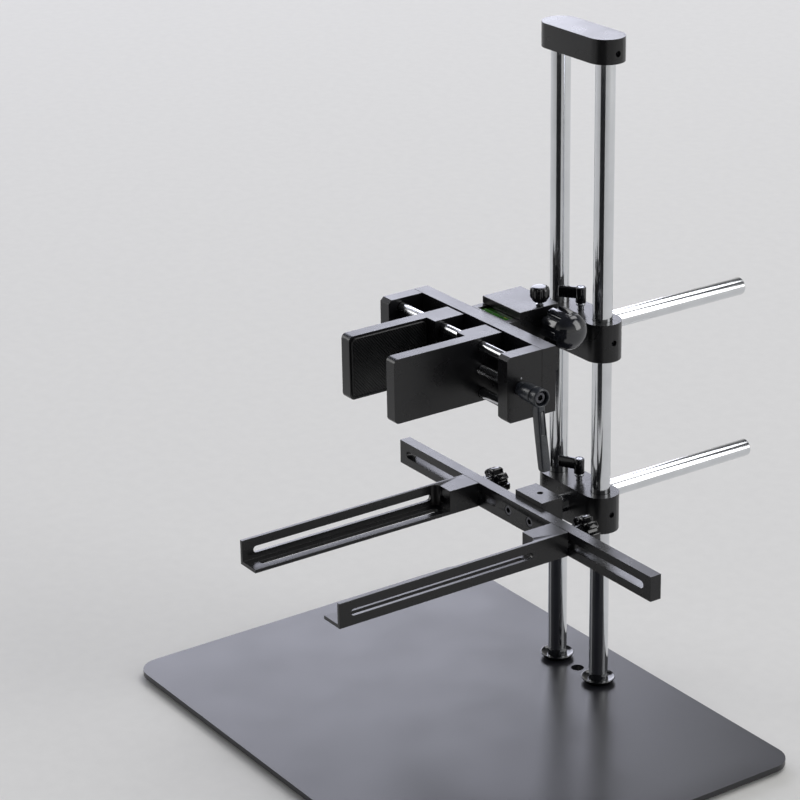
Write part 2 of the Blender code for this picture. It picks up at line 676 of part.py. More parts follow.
def thumb_screw(level, rod_z, turn):
    """Steel stud that bears on the rod, with a one-winged plastic handle on top."""
    seat = rod_z + ROD_DIAMETER / 2 + GAP
    hub_bottom = rod_z + CROSSHEAD_HEIGHT / 2 + STUD_SHOWING
    stud_top = hub_bottom + STUD_IN_HANDLE
    stud = cylinder_between(level + "_thumb_stud", STUD_DIAMETER, (0, 0, seat),
                            (0, 0, stud_top), "Z", SMALL_SEGMENTS, "chrome")
    handle = cylinder_between(level + "_thumb_handle", HANDLE_HUB_DIAMETER,
                              (0, 0, hub_bottom), (0, 0, hub_bottom + HANDLE_HUB_HEIGHT),
                              "Z", MEDIUM_SEGMENTS, "glossy_plastic")
    wing_top = hub_bottom + HANDLE_HUB_HEIGHT - GAP
    wing = box_between(level + "_wing",
                       (0, -HANDLE_WING_THICKNESS / 2, wing_top - HANDLE_WING_HEIGHT),
                       (HANDLE_REACH, HANDLE_WING_THICKNESS / 2, wing_top))
    pivot = Matrix.Translation((0, 0, wing.location.z)) @ Matrix.Rotation(turn, 4, "Z")
    wing.matrix_world = pivot @ Matrix.Translation((wing.location.x, 0, 0))
    join(handle, wing)
    cut(handle, cylinder_between(level + "_handle_bore", STUD_DIAMETER + 2 * SCREW_GAP,
                                 (0, 0, hub_bottom - GAP), (0, 0, stud_top + GAP), "Z",
                                 SMALL_SEGMENTS))
    smooth(stud, handle)


# Levelling head

def head_body():
    body = box_between("head_body", (-HEAD_WIDTH / 2, HEAD_FRONT_Y, HEAD_BOTTOM),
                       (HEAD_WIDTH / 2, HEAD_REAR_Y, HEAD_TOP), "black_anodised")
    bore_end = UPPER_ROD_FRONT - GAP
    cut(body, cylinder_between("head_rod_bore", ROD_DIAMETER + 2 * GAP,
                               (0, bore_end, UPPER_ROD_Z),
                               (0, HEAD_REAR_Y + GAP, UPPER_ROD_Z), "Y", LARGE_SEGMENTS))
    cut(body, box_between("head_slit",
                          (-HEAD_SLIT_WIDTH / 2, bore_end - HEAD_SLIT_BEYOND_ROD,
                           UPPER_ROD_Z),
                          (HEAD_SLIT_WIDTH / 2, HEAD_REAR_Y + GAP, HEAD_TOP + GAP)))
    stud_end = HEAD_WIDTH / 2 - HEAD_STUD_IN_HEAD
    cut(body, cylinder_between("head_stud_bore", HEAD_STUD_DIAMETER + 2 * SCREW_GAP,
                               (stud_end - GAP, HEAD_KNOB_Y, HEAD_KNOB_Z),
                               (HEAD_WIDTH / 2 + GAP, HEAD_KNOB_Y, HEAD_KNOB_Z), "X",
                               MEDIUM_SEGMENTS))
    pocket = LEVEL_WIDTH / 2 + GAP
    cut(body, box_between("level_pocket",
                          (-LEVEL_LENGTH / 2 - GAP, LEVEL_Y - pocket,
                           HEAD_TOP - LEVEL_DROP - LEVEL_HEIGHT - GAP),
                          (LEVEL_LENGTH / 2 + GAP, LEVEL_Y + pocket, HEAD_TOP + GAP)))
    cut(body, cylinder_between("lock_stud_bore", LOCK_STUD_DIAMETER + 2 * SCREW_GAP,
                               (LOCK_KNOB_X, LOCK_KNOB_Y,
                                HEAD_TOP - LOCK_STUD_IN_HEAD - GAP),
                               (LOCK_KNOB_X, LOCK_KNOB_Y, HEAD_TOP + GAP), "Z",
                               SMALL_SEGMENTS))
    for x in head_screw_places():
        cut(body, cylinder_between("head_screw_bore_%+d" % x[0],
                                   FRAME_SCREW_DIAMETER + 2 * SCREW_GAP,
                                   (x[1], HEAD_FRONT_Y - GAP, FRAME_MIDDLE),
                                   (x[1], head_screw_tip() + GAP, FRAME_MIDDLE), "Y",
                                   SMALL_SEGMENTS))
    smooth(body)


def head_screw_places():
    return [(side, side * HEAD_SCREW_SPACING / 2) for side in (-1, 1)]


def head_screw_tip():
    head_face = BAR_FRONT_Y + GAP
    return head_face + FRAME_SCREW_HEAD_HEIGHT + FRAME_SCREW_LENGTH


def head_level():
    """Clear acrylic block with round corners, filled with green spirit."""
    high = HEAD_TOP - LEVEL_DROP
    outline = rounded_rectangle((LEVEL_Y - LEVEL_WIDTH / 2, high - LEVEL_HEIGHT),
                                (LEVEL_Y + LEVEL_WIDTH / 2, high),
                                [LEVEL_CORNER_RADIUS] * 4, 5)
    smooth(prism("head_level_vial", outline, "YZ", -LEVEL_LENGTH / 2, LEVEL_LENGTH / 2,
                 "green_vial"))


def head_top_plate():
    plate = box_between("head_top_plate",
                        (-HEAD_WIDTH / 2, HEAD_REAR_Y - TOP_PLATE_DEPTH,
                         TOP_PLATE_BOTTOM),
                        (HEAD_WIDTH / 2, HEAD_REAR_Y, TOP_PLATE_TOP), "black_anodised")
    cut(plate, cylinder_between("top_plate_hole", LOCK_STUD_DIAMETER + 2 * SCREW_GAP,
                                (LOCK_KNOB_X, LOCK_KNOB_Y, TOP_PLATE_BOTTOM - GAP),
                                (LOCK_KNOB_X, LOCK_KNOB_Y, TOP_PLATE_TOP + GAP), "Z",
                                SMALL_SEGMENTS))


def head_clamp_knob():
    """Fluted grip with a polished dome, turning on the X axis."""
    neck_x = HEAD_WIDTH / 2 + GAP
    grip_x = neck_x + HEAD_KNOB_NECK_LENGTH
    dome_x = grip_x + HEAD_KNOB_GRIP_LENGTH
    outline = fluted(HEAD_KNOB_DIAMETER, HEAD_KNOB_FLUTE_DEPTH, HEAD_KNOB_FLUTES)
    knob = prism("head_clamp_knob", outline, "YZ", grip_x, dome_x, "glossy_plastic",
                 (0, HEAD_KNOB_Y, HEAD_KNOB_Z))
    radius = HEAD_KNOB_DIAMETER / 2 - HEAD_KNOB_FLUTE_DEPTH - GAP
    dome = [(radius * sin(angle), HEAD_KNOB_DOME_LENGTH * cos(angle))
            for angle in (radians(degrees) for degrees in range(0, 91, 15))]
    dome += [(radius, -HEAD_KNOB_GRIP_LENGTH / 2), (0, -HEAD_KNOB_GRIP_LENGTH / 2)]
    join(knob, turned("knob_dome", dome, (dome_x - GAP, HEAD_KNOB_Y, HEAD_KNOB_Z), "X",
                      MEDIUM_SEGMENTS))
    join(knob, cylinder_between("knob_neck", HEAD_KNOB_NECK_DIAMETER,
                                (neck_x, HEAD_KNOB_Y, HEAD_KNOB_Z),
                                (grip_x + GAP, HEAD_KNOB_Y, HEAD_KNOB_Z), "X",
                                MEDIUM_SEGMENTS))
    bore_end = neck_x + HEAD_STUD_IN_KNOB + GAP
    cut(knob, cylinder_between("knob_bore", HEAD_STUD_DIAMETER + 2 * SCREW_GAP,
                               (neck_x - GAP, HEAD_KNOB_Y, HEAD_KNOB_Z),
                               (bore_end, HEAD_KNOB_Y, HEAD_KNOB_Z), "X",
                               MEDIUM_SEGMENTS))
    stud = cylinder_between("head_clamp_stud", HEAD_STUD_DIAMETER,
                            (HEAD_WIDTH / 2 - HEAD_STUD_IN_HEAD, HEAD_KNOB_Y,
                             HEAD_KNOB_Z),
                            (neck_x + HEAD_STUD_IN_KNOB, HEAD_KNOB_Y, HEAD_KNOB_Z), "X",
                            SMALL_SEGMENTS, "chrome")
    smooth(knob, stud)


def head_lock_knob():
    """Small fluted knob moulded on its stud, which holds the top plate down."""
    grip_z = TOP_PLATE_TOP + LOCK_STUD_SHOWING
    outline = fluted(LOCK_KNOB_DIAMETER, LOCK_KNOB_FLUTE_DEPTH, LOCK_KNOB_FLUTES)
    knob = prism("head_lock_knob", outline, "XY", grip_z, grip_z + LOCK_KNOB_HEIGHT,
                 "glossy_plastic", (LOCK_KNOB_X, LOCK_KNOB_Y, 0))
    join(knob, cylinder_between("lock_stud", LOCK_STUD_DIAMETER,
                                (LOCK_KNOB_X, LOCK_KNOB_Y,
                                 HEAD_TOP - LOCK_STUD_IN_HEAD),
                                (LOCK_KNOB_X, LOCK_KNOB_Y, grip_z + GAP), "Z",
                                SMALL_SEGMENTS))
    smooth(knob)


# Screw clamp

def back_bar():
    bar = box_between("clamp_back_bar",
                      (-END_OUTER_X, BAR_FRONT_Y, FRAME_TOP - FRAME_HEIGHT),
                      (END_OUTER_X, BAR_REAR_Y, FRAME_TOP), "black_anodised")
    head_hole = FRAME_SCREW_HEAD_DIAMETER + 2 * SCREW_GAP
    shank_hole = FRAME_SCREW_DIAMETER + 2 * SCREW_GAP
    seat = FRAME_SCREW_HEAD_HEIGHT + 2 * GAP
    for side, x in head_screw_places():
        name = "head_screw_%s" % ("left" if side < 0 else "right")
        cut(bar, cylinder_between(name + "_seat", head_hole,
                                  (x, BAR_FRONT_Y - GAP, FRAME_MIDDLE),
                                  (x, BAR_FRONT_Y + seat, FRAME_MIDDLE), "Y",
                                  MEDIUM_SEGMENTS))
        cut(bar, cylinder_between(name + "_hole", shank_hole,
                                  (x, BAR_FRONT_Y, FRAME_MIDDLE),
                                  (x, BAR_REAR_Y + GAP, FRAME_MIDDLE), "Y",
                                  SMALL_SEGMENTS))
        socket_screw(name, FRAME_SCREW_HEAD_DIAMETER, FRAME_SCREW_HEAD_HEIGHT,
                     FRAME_SCREW_DIAMETER, FRAME_SCREW_LENGTH,
                     (FRAME_SCREW_SOCKET_WIDTH, FRAME_SCREW_SOCKET_DEPTH),
                     (x, BAR_FRONT_Y + GAP, FRAME_MIDDLE), "Y", -1)
    for name, x, z in end_screw_places():
        cut(bar, cylinder_between(name + "_seat", head_hole, (x, BAR_REAR_Y + GAP, z),
                                  (x, BAR_REAR_Y - seat, z), "Y", MEDIUM_SEGMENTS))
        cut(bar, cylinder_between(name + "_hole", shank_hole, (x, BAR_REAR_Y, z),
                                  (x, BAR_FRONT_Y - GAP, z), "Y", SMALL_SEGMENTS))
        socket_screw(name, FRAME_SCREW_HEAD_DIAMETER, FRAME_SCREW_HEAD_HEIGHT,
                     FRAME_SCREW_DIAMETER, FRAME_SCREW_LENGTH,
                     (FRAME_SCREW_SOCKET_WIDTH, FRAME_SCREW_SOCKET_DEPTH),
                     (x, BAR_REAR_Y - GAP, z), "Y", 1)
    smooth(bar)


def end_screw_places():
    places = []
    for side, x in (("left", -1), ("right", 1)):
        for level, rise in (("lower", -1), ("upper", 1)):
            places.append(("end_screw_%s_%s" % (side, level),
                           x * (END_OUTER_X - END_PLATE_THICKNESS / 2),
                           FRAME_MIDDLE + rise * FRAME_SCREW_RISE))
    return places


def end_plate(side, sign):
    chamfer = END_PLATE_EDGE_CHAMFER
    bottom = FRAME_TOP - FRAME_HEIGHT
    outline = [(END_REAR_Y, bottom), (END_REAR_Y, FRAME_TOP),
               (END_FRONT_Y + chamfer, FRAME_TOP), (END_FRONT_Y, FRAME_TOP - chamfer),
               (END_FRONT_Y, bottom + chamfer), (END_FRONT_Y + chamfer, bottom)]
    plate = prism("clamp_end_plate_" + side, outline, "YZ", sign * END_INNER_X,
                  sign * END_OUTER_X, "black_anodised")
    for level in (-1, 1):
        z = FRAME_MIDDLE + level * GUIDE_ROD_OFFSET
        cut(plate, cylinder_between("guide_seat_%s_%+d" % (side, level),
                                    GUIDE_ROD_DIAMETER + 2 * GAP,
                                    (sign * (END_INNER_X - GAP), LEAD_SCREW_Y, z),
                                    (sign * (GUIDE_ROD_END_X + GAP), LEAD_SCREW_Y, z),
                                    "X", MEDIUM_SEGMENTS))
    bore_end = END_OUTER_X + GAP if sign > 0 else GUIDE_ROD_END_X + GAP
    cut(plate, cylinder_between("lead_screw_bore_" + side,
                                LEAD_SCREW_DIAMETER + 2 * GAP,
                                (sign * (END_INNER_X - GAP), LEAD_SCREW_Y, FRAME_MIDDLE),
                                (sign * bore_end, LEAD_SCREW_Y, FRAME_MIDDLE), "X",
                                MEDIUM_SEGMENTS))
    tip = BAR_REAR_Y - GAP - FRAME_SCREW_HEAD_HEIGHT - FRAME_SCREW_LENGTH
    for name, x, z in end_screw_places():
        if side in name:
            cut(plate, cylinder_between(name + "_thread",
                                        FRAME_SCREW_DIAMETER + 2 * SCREW_GAP,
                                        (x, END_REAR_Y + GAP, z), (x, tip - GAP, z), "Y",
                                        SMALL_SEGMENTS))
    smooth(plate)


def guide_rods():
    for level, sign in (("lower", -1), ("upper", 1)):
        z = FRAME_MIDDLE + sign * GUIDE_ROD_OFFSET
        item = cylinder_between("guide_rod_" + level, GUIDE_ROD_DIAMETER,
                                (-GUIDE_ROD_END_X, LEAD_SCREW_Y, z),
                                (GUIDE_ROD_END_X, LEAD_SCREW_Y, z), "X",
                                MEDIUM_SEGMENTS, "chrome")
        smooth(item)


def lead_screw():
    """Runs in both end plates; its two halves have opposite threads."""
    item = cylinder_between("lead_screw", LEAD_SCREW_DIAMETER,
                            (-GUIDE_ROD_END_X, LEAD_SCREW_Y, FRAME_MIDDLE),
                            (LEVER_RECESS_X - GAP, LEAD_SCREW_Y, FRAME_MIDDLE), "X",
                            MEDIUM_SEGMENTS, "chrome")
    smooth(item)


def jaw(side, sign):
    """Guide block on the rods with a paddle flush with its outer face."""
    low, high = FRAME_MIDDLE - JAW_HEIGHT / 2, FRAME_MIDDLE + JAW_HEIGHT / 2
    radius = JAW_CORNER_RADIUS
    outline = rounded_rectangle((JAW_FRONT_Y, low), (JAW_REAR_Y, high),
                                (radius, 0, 0, radius), 5)
    item = prism("jaw_" + side, outline, "YZ", sign * JAW_FACE_X, sign * JAW_OUTER_X,
                 "black_anodised")
    join(item, box_between("jaw_block_" + side,
                           (min(sign * JAW_INNER_X, sign * (JAW_OUTER_X - radius)),
                            JAW_BLOCK_FRONT_Y, low),
                           (max(sign * JAW_INNER_X, sign * (JAW_OUTER_X - radius)),
                            JAW_REAR_Y, high)))
    for level in (-1, 0, 1):
        diameter = LEAD_SCREW_DIAMETER if level == 0 else GUIDE_ROD_DIAMETER
        z = FRAME_MIDDLE + level * GUIDE_ROD_OFFSET
        cut(item, cylinder_between("jaw_bore_%s_%+d" % (side, level),
                                   diameter + 2 * JAW_BORE_CLEARANCE,
                                   (sign * (JAW_INNER_X - GAP), LEAD_SCREW_Y, z),
                                   (sign * (JAW_OUTER_X + GAP), LEAD_SCREW_Y, z), "X",
                                   MEDIUM_SEGMENTS))
    cut(item, prism("pad_pocket_" + side, pad_outline(0), "YZ",
                    sign * (JAW_FACE_X - GAP), sign * (JAW_FACE_X + PAD_POCKET_DEPTH)))
    smooth(item)


def pad_outline(shrink):
    low = FRAME_MIDDLE - JAW_HEIGHT / 2 + PAD_MARGIN + shrink
    high = FRAME_MIDDLE + JAW_HEIGHT / 2 - PAD_MARGIN - shrink
    front = JAW_FRONT_Y + PAD_MARGIN + shrink
    rear = JAW_BLOCK_FRONT_Y - PAD_MARGIN - shrink
    return rounded_rectangle((front, low), (rear, high), [PAD_CORNER_RADIUS] * 4, 5)


def jaw_pad(side, sign):
    back = JAW_FACE_X + PAD_POCKET_DEPTH - GAP
    return prism("jaw_pad_" + side, pad_outline(GAP), "YZ", sign * back,
                 sign * (back - PAD_THICKNESS), "black_rubber")


def clamping_lever():
    """Round hub on the lead screw with a tapered arm hanging from its outer end."""
    hub = LEVER_HUB_DIAMETER / 2
    neck = LEVER_NECK_DIAMETER / 2
    length = LEVER_HUB_LENGTH
    profile = [(0, length), (hub - GAP, length), (hub, length - 2 * GAP),
               (LEVER_SHOULDER_DIAMETER / 2, LEVER_NECK_LENGTH + LEVER_SHOULDER_LENGTH),
               (neck, LEVER_NECK_LENGTH), (neck, 0), (0, 0)]
    lever = turned("clamp_lever", profile, (LEVER_BASE_X, LEAD_SCREW_Y, FRAME_MIDDLE),
                   "X", MEDIUM_SEGMENTS, "die_cast_black")
    root_x, tip_x = LEVER_END_X - GAP, LEVER_END_X + LEVER_LEAN
    tip_z = FRAME_MIDDLE - LEVER_REACH
    root_z = FRAME_MIDDLE - LEVER_ROOT_DROP
    edge = LEVER_TIP_CHAMFER
    outline = [(root_x, root_z), (root_x - LEVER_ROOT_THICKNESS, root_z),
               (root_x - LEVER_ROOT_THICKNESS, root_z - LEVER_ROOT_HEIGHT),
               (tip_x - LEVER_TIP_THICKNESS, tip_z + edge),
               (tip_x - LEVER_TIP_THICKNESS + edge, tip_z), (tip_x - edge, tip_z),
               (tip_x, tip_z + edge), (root_x, root_z - LEVER_FACE_START)]
    half = LEVER_ARM_WIDTH / 2
    join(lever, prism("lever_arm", outline, "XZ", LEAD_SCREW_Y - half,
                      LEAD_SCREW_Y + half))
    cut(lever, cylinder_between("lever_bore", LEAD_SCREW_DIAMETER + 2 * GAP,
                                (LEVER_BASE_X - GAP, LEAD_SCREW_Y, FRAME_MIDDLE),
                                (LEVER_END_X, LEAD_SCREW_Y, FRAME_MIDDLE), "X",
                                MEDIUM_SEGMENTS))
    cut(lever, cylinder_between("lever_recess", LEVER_RECESS_DIAMETER,
                                (LEVER_RECESS_X, LEAD_SCREW_Y, FRAME_MIDDLE),
                                (LEVER_END_X + GAP, LEAD_SCREW_Y, FRAME_MIDDLE), "X",
                                MEDIUM_SEGMENTS))
    cut(lever, lever_panel())
    smooth(lever)


def lever_panel():
    """Shallow panel that follows the leaning outer face of the arm."""
    lean_top = FRAME_MIDDLE - LEVER_ROOT_DROP - LEVER_FACE_START
    lean_bottom = FRAME_MIDDLE - LEVER_REACH + LEVER_TIP_CHAMFER
    slope = (LEVER_LEAN + GAP) / (lean_top - lean_bottom)
    tilt = Matrix.Rotation(slope, 4, "Y")
    length = LEVER_PANEL_END - LEVER_PANEL_START
    middle = FRAME_MIDDLE - (LEVER_PANEL_START + LEVER_PANEL_END) / 2
    face_x = LEVER_END_X - GAP + (lean_top - middle) * slope
    cutter = box("lever_panel", (2 * LEVER_PANEL_DEPTH, LEVER_PANEL_WIDTH, length),
                 (0, 0, 0))
    cutter.matrix_world = Matrix.Translation((face_x, LEAD_SCREW_Y, middle)) @ tilt
    return cutter


def lever_screw():
    at = (LEVER_RECESS_X + GAP + LEVER_SCREW_HEAD_HEIGHT, LEAD_SCREW_Y, FRAME_MIDDLE)
    inner = Vector((LEVER_RECESS_X + GAP, LEAD_SCREW_Y, FRAME_MIDDLE))
    screw = cylinder_between("clamp_lever_screw", LEVER_SCREW_HEAD_DIAMETER, inner, at,
                             "X", MEDIUM_SEGMENTS, "black_steel")
    cut(screw, cylinder_between("lever_screw_socket",
                                FRAME_SCREW_SOCKET_WIDTH * HEXAGON,
                                (at[0] - FRAME_SCREW_SOCKET_DEPTH, at[1], at[2]),
                                (at[0] + GAP, at[1], at[2]), "X", 6))
    smooth(screw)


# Lower bracket

def bracket_block():
    block = box_between("bracket_block",
                        (-BRACKET_WIDTH / 2, BRACKET_FRONT_Y,
                         LOWER_ROD_Z - BRACKET_HEIGHT / 2),
                        (BRACKET_WIDTH / 2, BRACKET_REAR_Y,
                         LOWER_ROD_Z + BRACKET_HEIGHT / 2), "black_anodised")
    cut(block, cylinder_between("bracket_rod_bore", ROD_DIAMETER + 2 * GAP,
                                (0, LOWER_ROD_FRONT - GAP, LOWER_ROD_Z),
                                (0, BRACKET_REAR_Y + GAP, LOWER_ROD_Z), "Y",
                                LARGE_SEGMENTS))
    screw_y = bracket_screw_y()
    top = LOWER_ROD_Z + BRACKET_HEIGHT / 2
    cut(block, cylinder_between("bracket_screw_hole", SET_SCREW_DIAMETER,
                                (0, screw_y, LOWER_ROD_Z), (0, screw_y, top + GAP), "Z",
                                SMALL_SEGMENTS))
    seat = LOWER_ROD_Z + ROD_DIAMETER / 2 + GAP
    set_screw("bracket_set_screw", (0, screw_y, seat + SET_SCREW_LENGTH), "Z", 1)
    for name, x in crossbar_screw_places():
        cut(block, cylinder_between(name + "_thread",
                                    FRAME_SCREW_DIAMETER + 2 * SCREW_GAP,
                                    (x, BRACKET_FRONT_Y - GAP, LOWER_ROD_Z),
                                    (x, crossbar_screw_tip() + GAP, LOWER_ROD_Z), "Y",
                                    SMALL_SEGMENTS))
    smooth(block)


def bracket_screw_y():
    return (BRACKET_REAR_Y + LOWER_ROD_FRONT) / 2


def crossbar_screw_places():
    half = CROSSBAR_SCREW_SPACING / 2
    return [("crossbar_screw_left", -half), ("crossbar_screw_right", half)]


def crossbar_screw_tip():
    return CROSSBAR_FRONT_Y + GAP + FRAME_SCREW_HEAD_HEIGHT + CROSSBAR_SCREW_LENGTH


def crossbar():
    half = CROSSBAR_LENGTH / 2
    bar = box_between("crossbar",
                      (-half, CROSSBAR_FRONT_Y, LOWER_ROD_Z - CROSSBAR_HEIGHT / 2),
                      (half, CROSSBAR_REAR_Y, LOWER_ROD_Z + CROSSBAR_HEIGHT / 2),
                      "black_anodised")
    radius = CROSSBAR_SLOT_HEIGHT / 2
    middle = (CROSSBAR_SLOT_INNER + CROSSBAR_SLOT_OUTER) / 2
    span = (CROSSBAR_SLOT_OUTER - CROSSBAR_SLOT_INNER) / 2 - radius
    for side, sign in (("left", -1), ("right", 1)):
        outline = moved(stadium(span, radius, 8), sign * middle, LOWER_ROD_Z)
        cut(bar, prism("crossbar_slot_" + side, outline, "XZ", CROSSBAR_FRONT_Y - GAP,
                       CROSSBAR_REAR_Y + GAP))
    for name, x in crossbar_screw_places():
        cut(bar, cylinder_between(name + "_seat",
                                  FRAME_SCREW_HEAD_DIAMETER + 2 * SCREW_GAP,
                                  (x, CROSSBAR_FRONT_Y - GAP, LOWER_ROD_Z),
                                  (x, CROSSBAR_FRONT_Y + FRAME_SCREW_HEAD_HEIGHT
                                   + 2 * GAP, LOWER_ROD_Z), "Y", MEDIUM_SEGMENTS))
        cut(bar, cylinder_between(name + "_hole", FRAME_SCREW_DIAMETER + 2 * SCREW_GAP,
                                  (x, CROSSBAR_FRONT_Y, LOWER_ROD_Z),
                                  (x, CROSSBAR_REAR_Y + GAP, LOWER_ROD_Z), "Y",
                                  SMALL_SEGMENTS))
        socket_screw(name, FRAME_SCREW_HEAD_DIAMETER, FRAME_SCREW_HEAD_HEIGHT,
                     FRAME_SCREW_DIAMETER, CROSSBAR_SCREW_LENGTH,
                     (FRAME_SCREW_SOCKET_WIDTH, FRAME_SCREW_SOCKET_DEPTH),
                     (x, CROSSBAR_FRONT_Y + GAP, LOWER_ROD_Z), "Y", -1)
    smooth(bar)


# Support arms

def arm(side, sign, outer_x):
    """L-section rail, open towards the other arm, on a solid block at its rear."""
    outer = sign * outer_x
    inner = outer - sign * ARM_FLANGE_WIDTH
    wall = outer - sign * ARM_SECTION_THICKNESS
    top = ARM_BOTTOM + CROSSBAR_HEIGHT
    floor = ARM_BOTTOM + ARM_SECTION_THICKNESS
    section = [(outer, ARM_BOTTOM), (outer, top), (wall, top), (wall, floor),
               (inner, floor), (inner, ARM_BOTTOM)]
    item = prism("arm_" + side, section, "XZ", ARM_TIP_Y,
                 ARM_BLOCK_FRONT_Y + ARM_SECTION_THICKNESS, "black_anodised")
    join(item, arm_block(side, sign, outer, inner, wall, top))
    slot_front = ARM_TIP_Y + ARM_SLOT_MARGIN
    slot_rear = ARM_BLOCK_FRONT_Y - ARM_BLOCK_FILLET
    radius = ARM_SLOT_WIDTH / 2
    middle = (slot_front + slot_rear) / 2
    span = (slot_rear - slot_front) / 2 - radius
    slot = [(second, first) for first, second in stadium(span, radius, 8)]
    wall_slot = moved(stadium(span, radius, 8), middle, LOWER_ROD_Z)
    cut(item, prism("wall_slot_" + side, wall_slot, "YZ", outer + sign * GAP,
                    wall - sign * GAP))
    flange_slot = moved(slot, (wall + inner) / 2, middle)
    cut(item, prism("flange_slot_" + side, flange_slot, "XY", ARM_BOTTOM - GAP,
                    floor + GAP))
    stud_x = outer - sign * ARM_STUD_INSET
    cut(item, cylinder_between("arm_thread_" + side,
                               STAR_STUD_DIAMETER + 2 * SCREW_GAP,
                               (stud_x, ARM_BLOCK_FRONT_Y - GAP, LOWER_ROD_Z),
                               (stud_x, ARM_REAR_Y + GAP, LOWER_ROD_Z), "Y",
                               SMALL_SEGMENTS))
    smooth(item)


def arm_block(side, sign, outer, inner, wall, top):
    """Block outline with a round corner where it grows out of the rail's wall."""
    fillet = ARM_BLOCK_FILLET
    centre = (wall - sign * fillet, ARM_BLOCK_FRONT_Y - fillet)
    start = 0 if sign > 0 else pi
    corner = arc(centre, fillet, start, pi / 2, 6)
    outline = [(outer, ARM_REAR_Y), (outer, ARM_BLOCK_FRONT_Y - fillet)] + corner
    outline += [(inner, ARM_BLOCK_FRONT_Y), (inner, ARM_REAR_Y)]
    return prism("arm_block_" + side, outline, "XY", ARM_BOTTOM, top)


def star_knob(side, stud_x):
    """Lobed knob behind the crossbar, moulded on the stud that pulls the arm in."""
    collar_y = CROSSBAR_REAR_Y + GAP
    star_y = collar_y + STAR_COLLAR_LENGTH
    outline = fluted(STAR_KNOB_DIAMETER, STAR_KNOB_LOBE_DEPTH, STAR_KNOB_LOBES, 5)
    knob = prism("star_knob_" + side, outline, "XZ", star_y, star_y + STAR_KNOB_THICKNESS,
                 "glossy_plastic", (stud_x, 0, LOWER_ROD_Z))
    join(knob, cylinder_between("star_collar_" + side, STAR_COLLAR_DIAMETER,
                                (stud_x, collar_y, LOWER_ROD_Z),
                                (stud_x, star_y + GAP, LOWER_ROD_Z), "Y",
                                MEDIUM_SEGMENTS))
    join(knob, cylinder_between("star_stud_" + side, STAR_STUD_DIAMETER,
                                (stud_x, ARM_REAR_Y - STAR_STUD_IN_ARM, LOWER_ROD_Z),
                                (stud_x, collar_y + GAP, LOWER_ROD_Z), "Y",
                                SMALL_SEGMENTS))
    smooth(knob)


# Assembly

def assembly():
    """Each moving group: its name, its carrier, a point on its joint, its pieces."""
    groups = [
        ("stand", None, (0, 0, 0),
         ["base_plate", "top_cap"] + pairs("column", "column_flange", "column_bolt",
                                           "foot_front", "foot_rear", "cap_set_screw")),
        ("upper_carriage", "stand", (0, 0, UPPER_ROD_Z),
         ["upper_crosshead"] + pairs("upper_set_screw")),
        ("upper_thumb_screw", "upper_carriage", (0, 0, UPPER_ROD_Z),
         ["upper_thumb_handle", "upper_thumb_stud"]),
        ("upper_arm", "upper_carriage", (0, UPPER_ROD_FRONT, UPPER_ROD_Z), ["upper_rod"]),
        ("clamp_head", "upper_arm", (0, UPPER_ROD_FRONT, UPPER_ROD_Z),
         ["head_body", "head_top_plate", "head_level_vial", "clamp_back_bar",
          "guide_rod_lower", "guide_rod_upper"]
         + pairs("clamp_end_plate", "head_screw")
         + [name for name, x, z in end_screw_places()]),
        ("head_clamp", "clamp_head", (0, HEAD_KNOB_Y, HEAD_KNOB_Z),
         ["head_clamp_knob", "head_clamp_stud"]),
        ("head_lock", "clamp_head", (LOCK_KNOB_X, LOCK_KNOB_Y, HEAD_TOP),
         ["head_lock_knob"]),
        ("clamp_drive", "clamp_head", (0, LEAD_SCREW_Y, FRAME_MIDDLE),
         ["lead_screw", "clamp_lever", "clamp_lever_screw"]),
        ("clamp_jaw_left", "clamp_head", (-JAW_OUTER_X, LEAD_SCREW_Y, FRAME_MIDDLE),
         ["jaw_left", "jaw_pad_left"]),
        ("clamp_jaw_right", "clamp_head", (JAW_OUTER_X, LEAD_SCREW_Y, FRAME_MIDDLE),
         ["jaw_right", "jaw_pad_right"]),
        ("lower_carriage", "stand", (0, 0, LOWER_ROD_Z),
         ["lower_crosshead"] + pairs("lower_set_screw")),
        ("lower_thumb_screw", "lower_carriage", (0, 0, LOWER_ROD_Z),
         ["lower_thumb_handle", "lower_thumb_stud"]),
        ("lower_arm", "lower_carriage", (0, LOWER_ROD_FRONT, LOWER_ROD_Z),
         ["lower_rod", "bracket_block", "bracket_set_screw", "crossbar"]
         + pairs("crossbar_screw")),
    ]
    for side, x in (("left", -LEFT_ARM_OUTER + ARM_STUD_INSET),
                    ("right", RIGHT_ARM_OUTER - ARM_STUD_INSET)):
        groups.append(("support_" + side, "lower_arm", (x, ARM_REAR_Y, LOWER_ROD_Z),
                       ["arm_" + side]))
        groups.append(("support_knob_" + side, "support_" + side,
                       (x, ARM_REAR_Y, LOWER_ROD_Z), ["star_knob_" + side]))
    return groups


def pairs(*names):
    return [name + side for name in names for side in ("_left", "_right")]


def assemble():
    """Gives each group an empty on its joint, and hangs the empties on one another."""
    empties = {}
    for name, carrier, pivot, pieces in assembly():
        empty = bpy.data.objects.new(name + "_pivot", None)
        empty.empty_display_size = SLEEVE_RADIUS
        PARTS.objects.link(empty)
        empties[name] = (empty, Vector(pivot))
        if carrier:
            empty.parent, carrier_pivot = empties[carrier]
            empty.location = Vector(pivot) - carrier_pivot
        else:
            empty.location = (0, COLUMN_SETBACK, 0)
        for piece in pieces:
            item = bpy.data.objects[piece]
            item.parent = empty
            item.location -= Vector(pivot)


